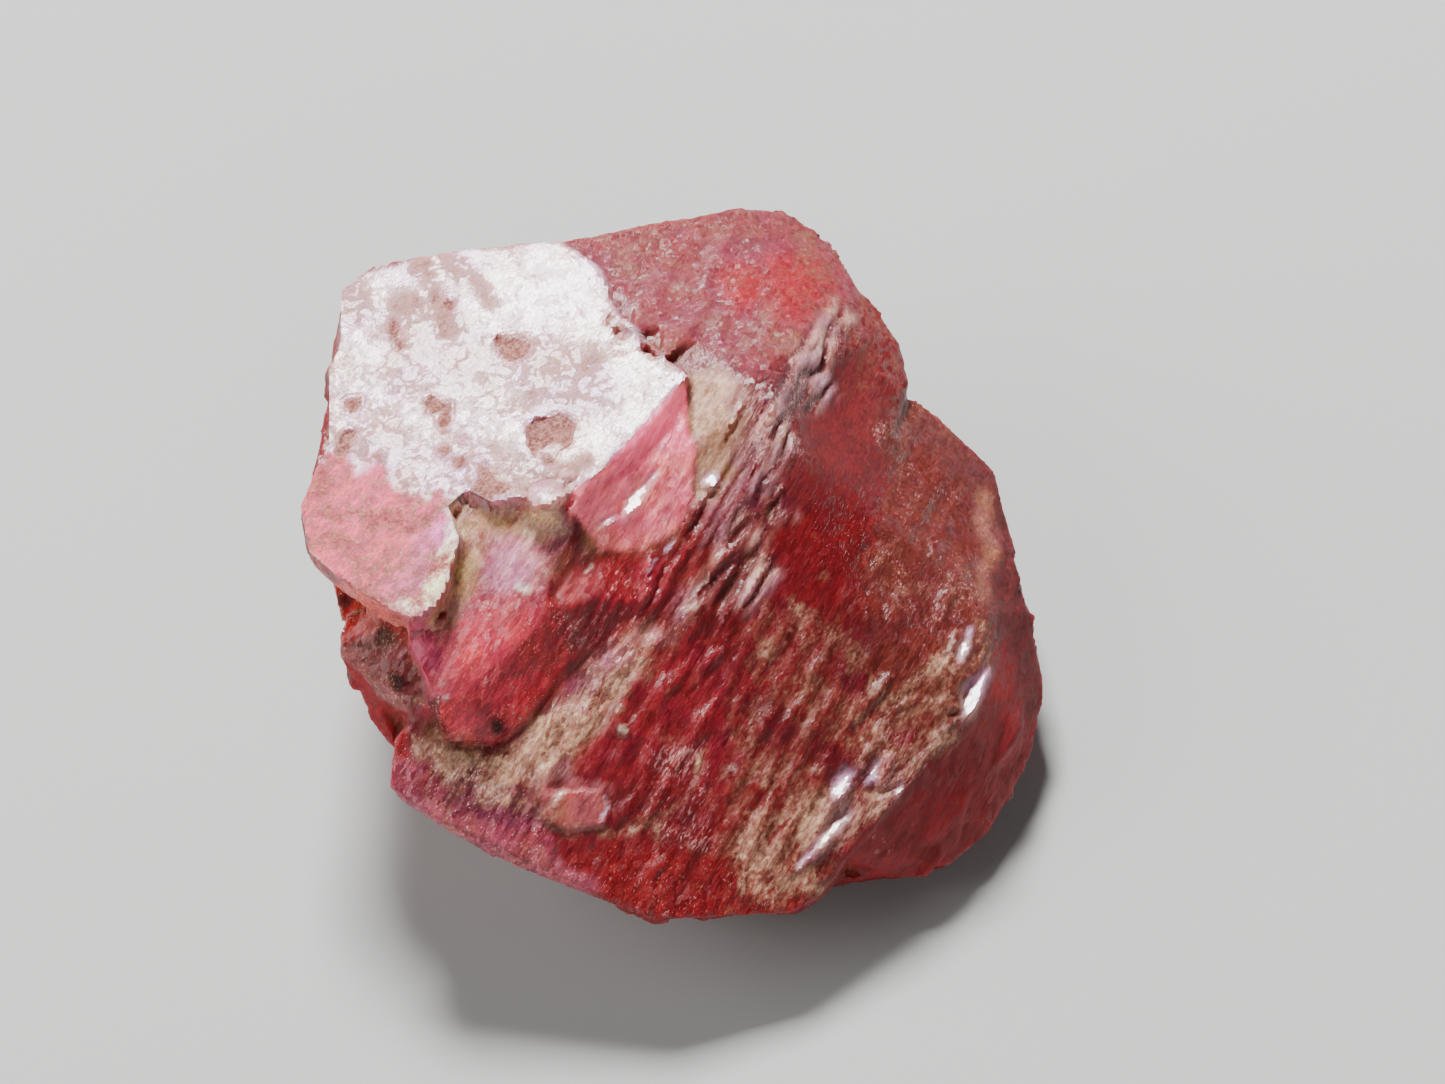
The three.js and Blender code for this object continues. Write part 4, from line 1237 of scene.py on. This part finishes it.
etched = (field + (dust - 0.5) * 0.8 + kept("etched") * 0.55).rise(0.38, 0.75) * plate_mask

# %% Its tone, and the grime in it
stain = (marks * 0.3 + gaps * 0.7 + etched * 0.6).rise(0.0, 1.1)
plate_noise = (etch * 0.6 + mottle * 0.4).rise(0.36, 0.62)
plate_tone = plate_noise.mix(paint(1.04, 1.12, 1.1), paint(0.80, 0.62, 0.66))
colour = times(colour, plate_tone, plate_mask * 0.9)
pitted = (field * 0.4 + kept("pitted")).rise(0.36, 0.62)
grime = (mottle * 0.6 + dust * 0.4).rise(0.40, 0.60).mix(paint(0.25, 0.07, 0.055), paint(0.52, 0.23, 0.19))
colour = (stain + pitted * plate_mask * 0.8).mix(colour, grime)

# %% The haze on its lobe
haze = (mottle * 0.45 + etch * 0.55).rise(0.40, 0.60)
haze_tone = haze.mix(paint(1.5, 2.9, 2.2), paint(0.80, 0.42, 0.56))
colour = times(colour, haze_tone, kept("haze"))

# %% [markdown]
# Gloss is the other half of a mineral's look. Roughness starts at the gloss of a fresh break, and
# film, dust and matt faces raise it. The plate and the flashes have values of their own, low
# enough to throw back the lamp as a sheen, and pits are the roughest.

# %% Gloss
BREAK_GLOSS, PLATE_GLOSS, FLASH_GLOSS, PIT_GLOSS = 0.30, 0.25, 0.13, 0.8
gloss = BREAK_GLOSS + dust * 0.12 + film_mask * 0.16 + kept("dull") * 0.45 - painted_glints * 0.12
gloss = gloss + kept("flash") * (FLASH_GLOSS + mottle * 0.08 - gloss)
plate_gloss = PLATE_GLOSS - clean_mask * 0.10 + stain * 0.36 + kept("dull") * 0.5 + dust * 0.06
gloss = gloss + plate_mask * (plate_gloss - gloss)
gloss = gloss + pitted * (PIT_GLOSS - gloss)

# %% [markdown]
# The relief that is finer than the skin is a bump: the lean of the splinters, and hairs, flecks
# and grit. Flat faces get a quarter of it, pits get more, and the plate gets some of it where it
# isn't clean. Blender works a bump out three times for each point that it shades, so only cheap
# textures go into it.

# %% Fine relief
BUMP_HEIGHT = 0.08 * MM
relief = splinter_height * (0.7 + speckle * 1.4) + hairs * 0.22 + flecks * 0.3 + mottle * 0.15 + dust * 0.12
relief_height = relief * (1 - kept("flat") * 0.75) + kept("pitted") * (mottle * 1.6 + dust * 0.5)
relief_height = relief_height + plate_mask * (1 - kept("clean")) * (mottle * 0.5 + dust * 0.15)
bump = Wire.node("ShaderNodeBump", Strength=0.6, Distance=BUMP_HEIGHT, Height=relief_height)

# %% [markdown]
# Everything meets in one Principled shader. Its index of refraction is kept a little below the
# 1.72 of rhodonite, because a weathered skin mirrors less than a polished one. Red goes about five
# times as deep as green and blue. The faint emission stands for the light that comes through the
# thin end of the bevel from behind, which is further than the subsurface part would carry it.

# %% The shader
BLACK = paint(0.0, 0.0, 0.0)
GLOW = paint(1.0, 0.10, 0.20)
glowing = (kept("glow") * (clouds * 2 - 0.2)).mix(BLACK, GLOW)
shader = Wire.node(
    "ShaderNodeBsdfPrincipled", {"subsurface_method": "RANDOM_WALK"},
    Base_Color=colour, Roughness=gloss, Normal=bump, IOR=1.55,
    Subsurface_Weight=0.4, Subsurface_Radius=(1.0, 0.2, 0.18), Subsurface_Scale=0.8 * MM,
    Emission_Color=glowing, Emission_Strength=0.7,
)
output = Wire.tree.nodes.new("ShaderNodeOutputMaterial")
Wire.tree.links.new(shader.socket, output.inputs["Surface"])
skin.materials.clear()
skin.materials.append(rhodonite)
print("nodes in the mineral:", len(Wire.tree.nodes))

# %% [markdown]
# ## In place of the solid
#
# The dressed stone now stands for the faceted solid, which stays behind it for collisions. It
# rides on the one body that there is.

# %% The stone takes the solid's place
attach(stone, "root")
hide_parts("rhodonite_crystal")

# %% [markdown]
# ## The table, the camera and the light
#
# The table is one plain, pale, matt sheet, wide enough to fill the view from any side.

# %% A pale floor
FLOOR_WIDTH = 0.8
bpy.ops.mesh.primitive_plane_add(size=FLOOR_WIDTH, location=(0, 0, 0))
floor = bpy.context.object
floor.name = "floor"
floor_paint = bpy.data.materials.new("pale floor")
floor_paint.use_nodes = True
coat = floor_paint.node_tree.nodes["Principled BSDF"]
coat.inputs["Base Color"].default_value = paint(0.54, 0.54, 0.53)
coat.inputs["Roughness"].default_value = 0.8
floor.data.materials.append(floor_paint)

# %% [markdown]
# The camera looks down at 55 degrees from a quarter of a metre away, through a long lens, as one
# does to fill the frame with a small stone. It looks straight at the drawing plane. The picture's
# middle lies a little to the right of that plane's origin and above it, and the lens is as long as
# it takes to show 41.1 dots to a millimetre.

# %% The camera
PICTURE_WIDE = 1445
PICTURE_HIGH = 1084
DOTS_PER_MM = 41.1
ORIGIN_DOT = (675, 654)  # where the drawing plane's origin falls in the picture
DISTANCE = 250
FOCUS_RISE = 4.5  # how far in front of the origin the scale holds
SENSOR = 36

right = Vector((1, 0, 0))
upward = Vector((0, math.sin(SIGHT), math.cos(SIGHT)))
to_camera = Vector(toward)
target = (
    right * ((PICTURE_WIDE / 2 - ORIGIN_DOT[0]) / DOTS_PER_MM)
    + upward * ((ORIGIN_DOT[1] - PICTURE_HIGH / 2) / DOTS_PER_MM)
    + to_camera * FOCUS_RISE
    + Vector((0, MIDDLE, 0))
)
camera = bpy.data.objects.new("camera", bpy.data.cameras.new("camera"))
bpy.context.scene.collection.objects.link(camera)
camera.data.sensor_width = SENSOR
camera.data.lens = SENSOR * DISTANCE / (PICTURE_WIDE / DOTS_PER_MM)
camera.data.clip_start = 0.01
camera.data.clip_end = 10
camera.location = (target + to_camera * DISTANCE) * MM
camera.rotation_mode = "QUATERNION"
camera.rotation_quaternion = (-to_camera).to_track_quat("-Z", "Y")
bpy.context.scene.camera = camera
print("lens, mm:", round(camera.data.lens, 1))

# %% [markdown]
# A small bright lamp stands behind the stone, where the flat plate throws its light into the
# camera, and that is what makes the plate and the flashes shine. Wide, dim lamps to the left and
# in front keep the rest soft, and a faint room light fills the shadows.

# %% The lamps
LAMP_AIM = 4 * MM  # the lamps are set out round a point inside the stone


def lamp(name, direction, distance, size, watts):
    """A square soft lamp that faces the stone from a direction."""
    made = bpy.data.objects.new(name, bpy.data.lights.new(name, "AREA"))
    bpy.context.scene.collection.objects.link(made)
    made.data.shape = "SQUARE"
    made.data.size = size
    made.data.energy = watts
    aim = Vector(direction).normalized()
    made.location = aim * distance + Vector((0, 0, LAMP_AIM))
    made.rotation_mode = "QUATERNION"
    made.rotation_quaternion = (-aim).to_track_quat("-Z", "Y")
    print(name, "at", [round(v, 2) for v in made.location])


lamp("lamp behind", (-0.144, 0.606, 0.782), 0.35, 0.09, 3.0)
lamp("wide lamp at the left", (-0.9, -0.1, 0.5), 0.5, 0.4, 1.7)
lamp("low lamp in front", (0.3, -1.0, 0.5), 0.6, 0.4, 0.6)

# %% The room
world = bpy.data.worlds.new("room")
world.use_nodes = True
room = world.node_tree.nodes["Background"]
room.inputs["Color"].default_value = paint(0.9, 0.95, 1.0)
room.inputs["Strength"].default_value = 0.06
bpy.context.scene.world = world
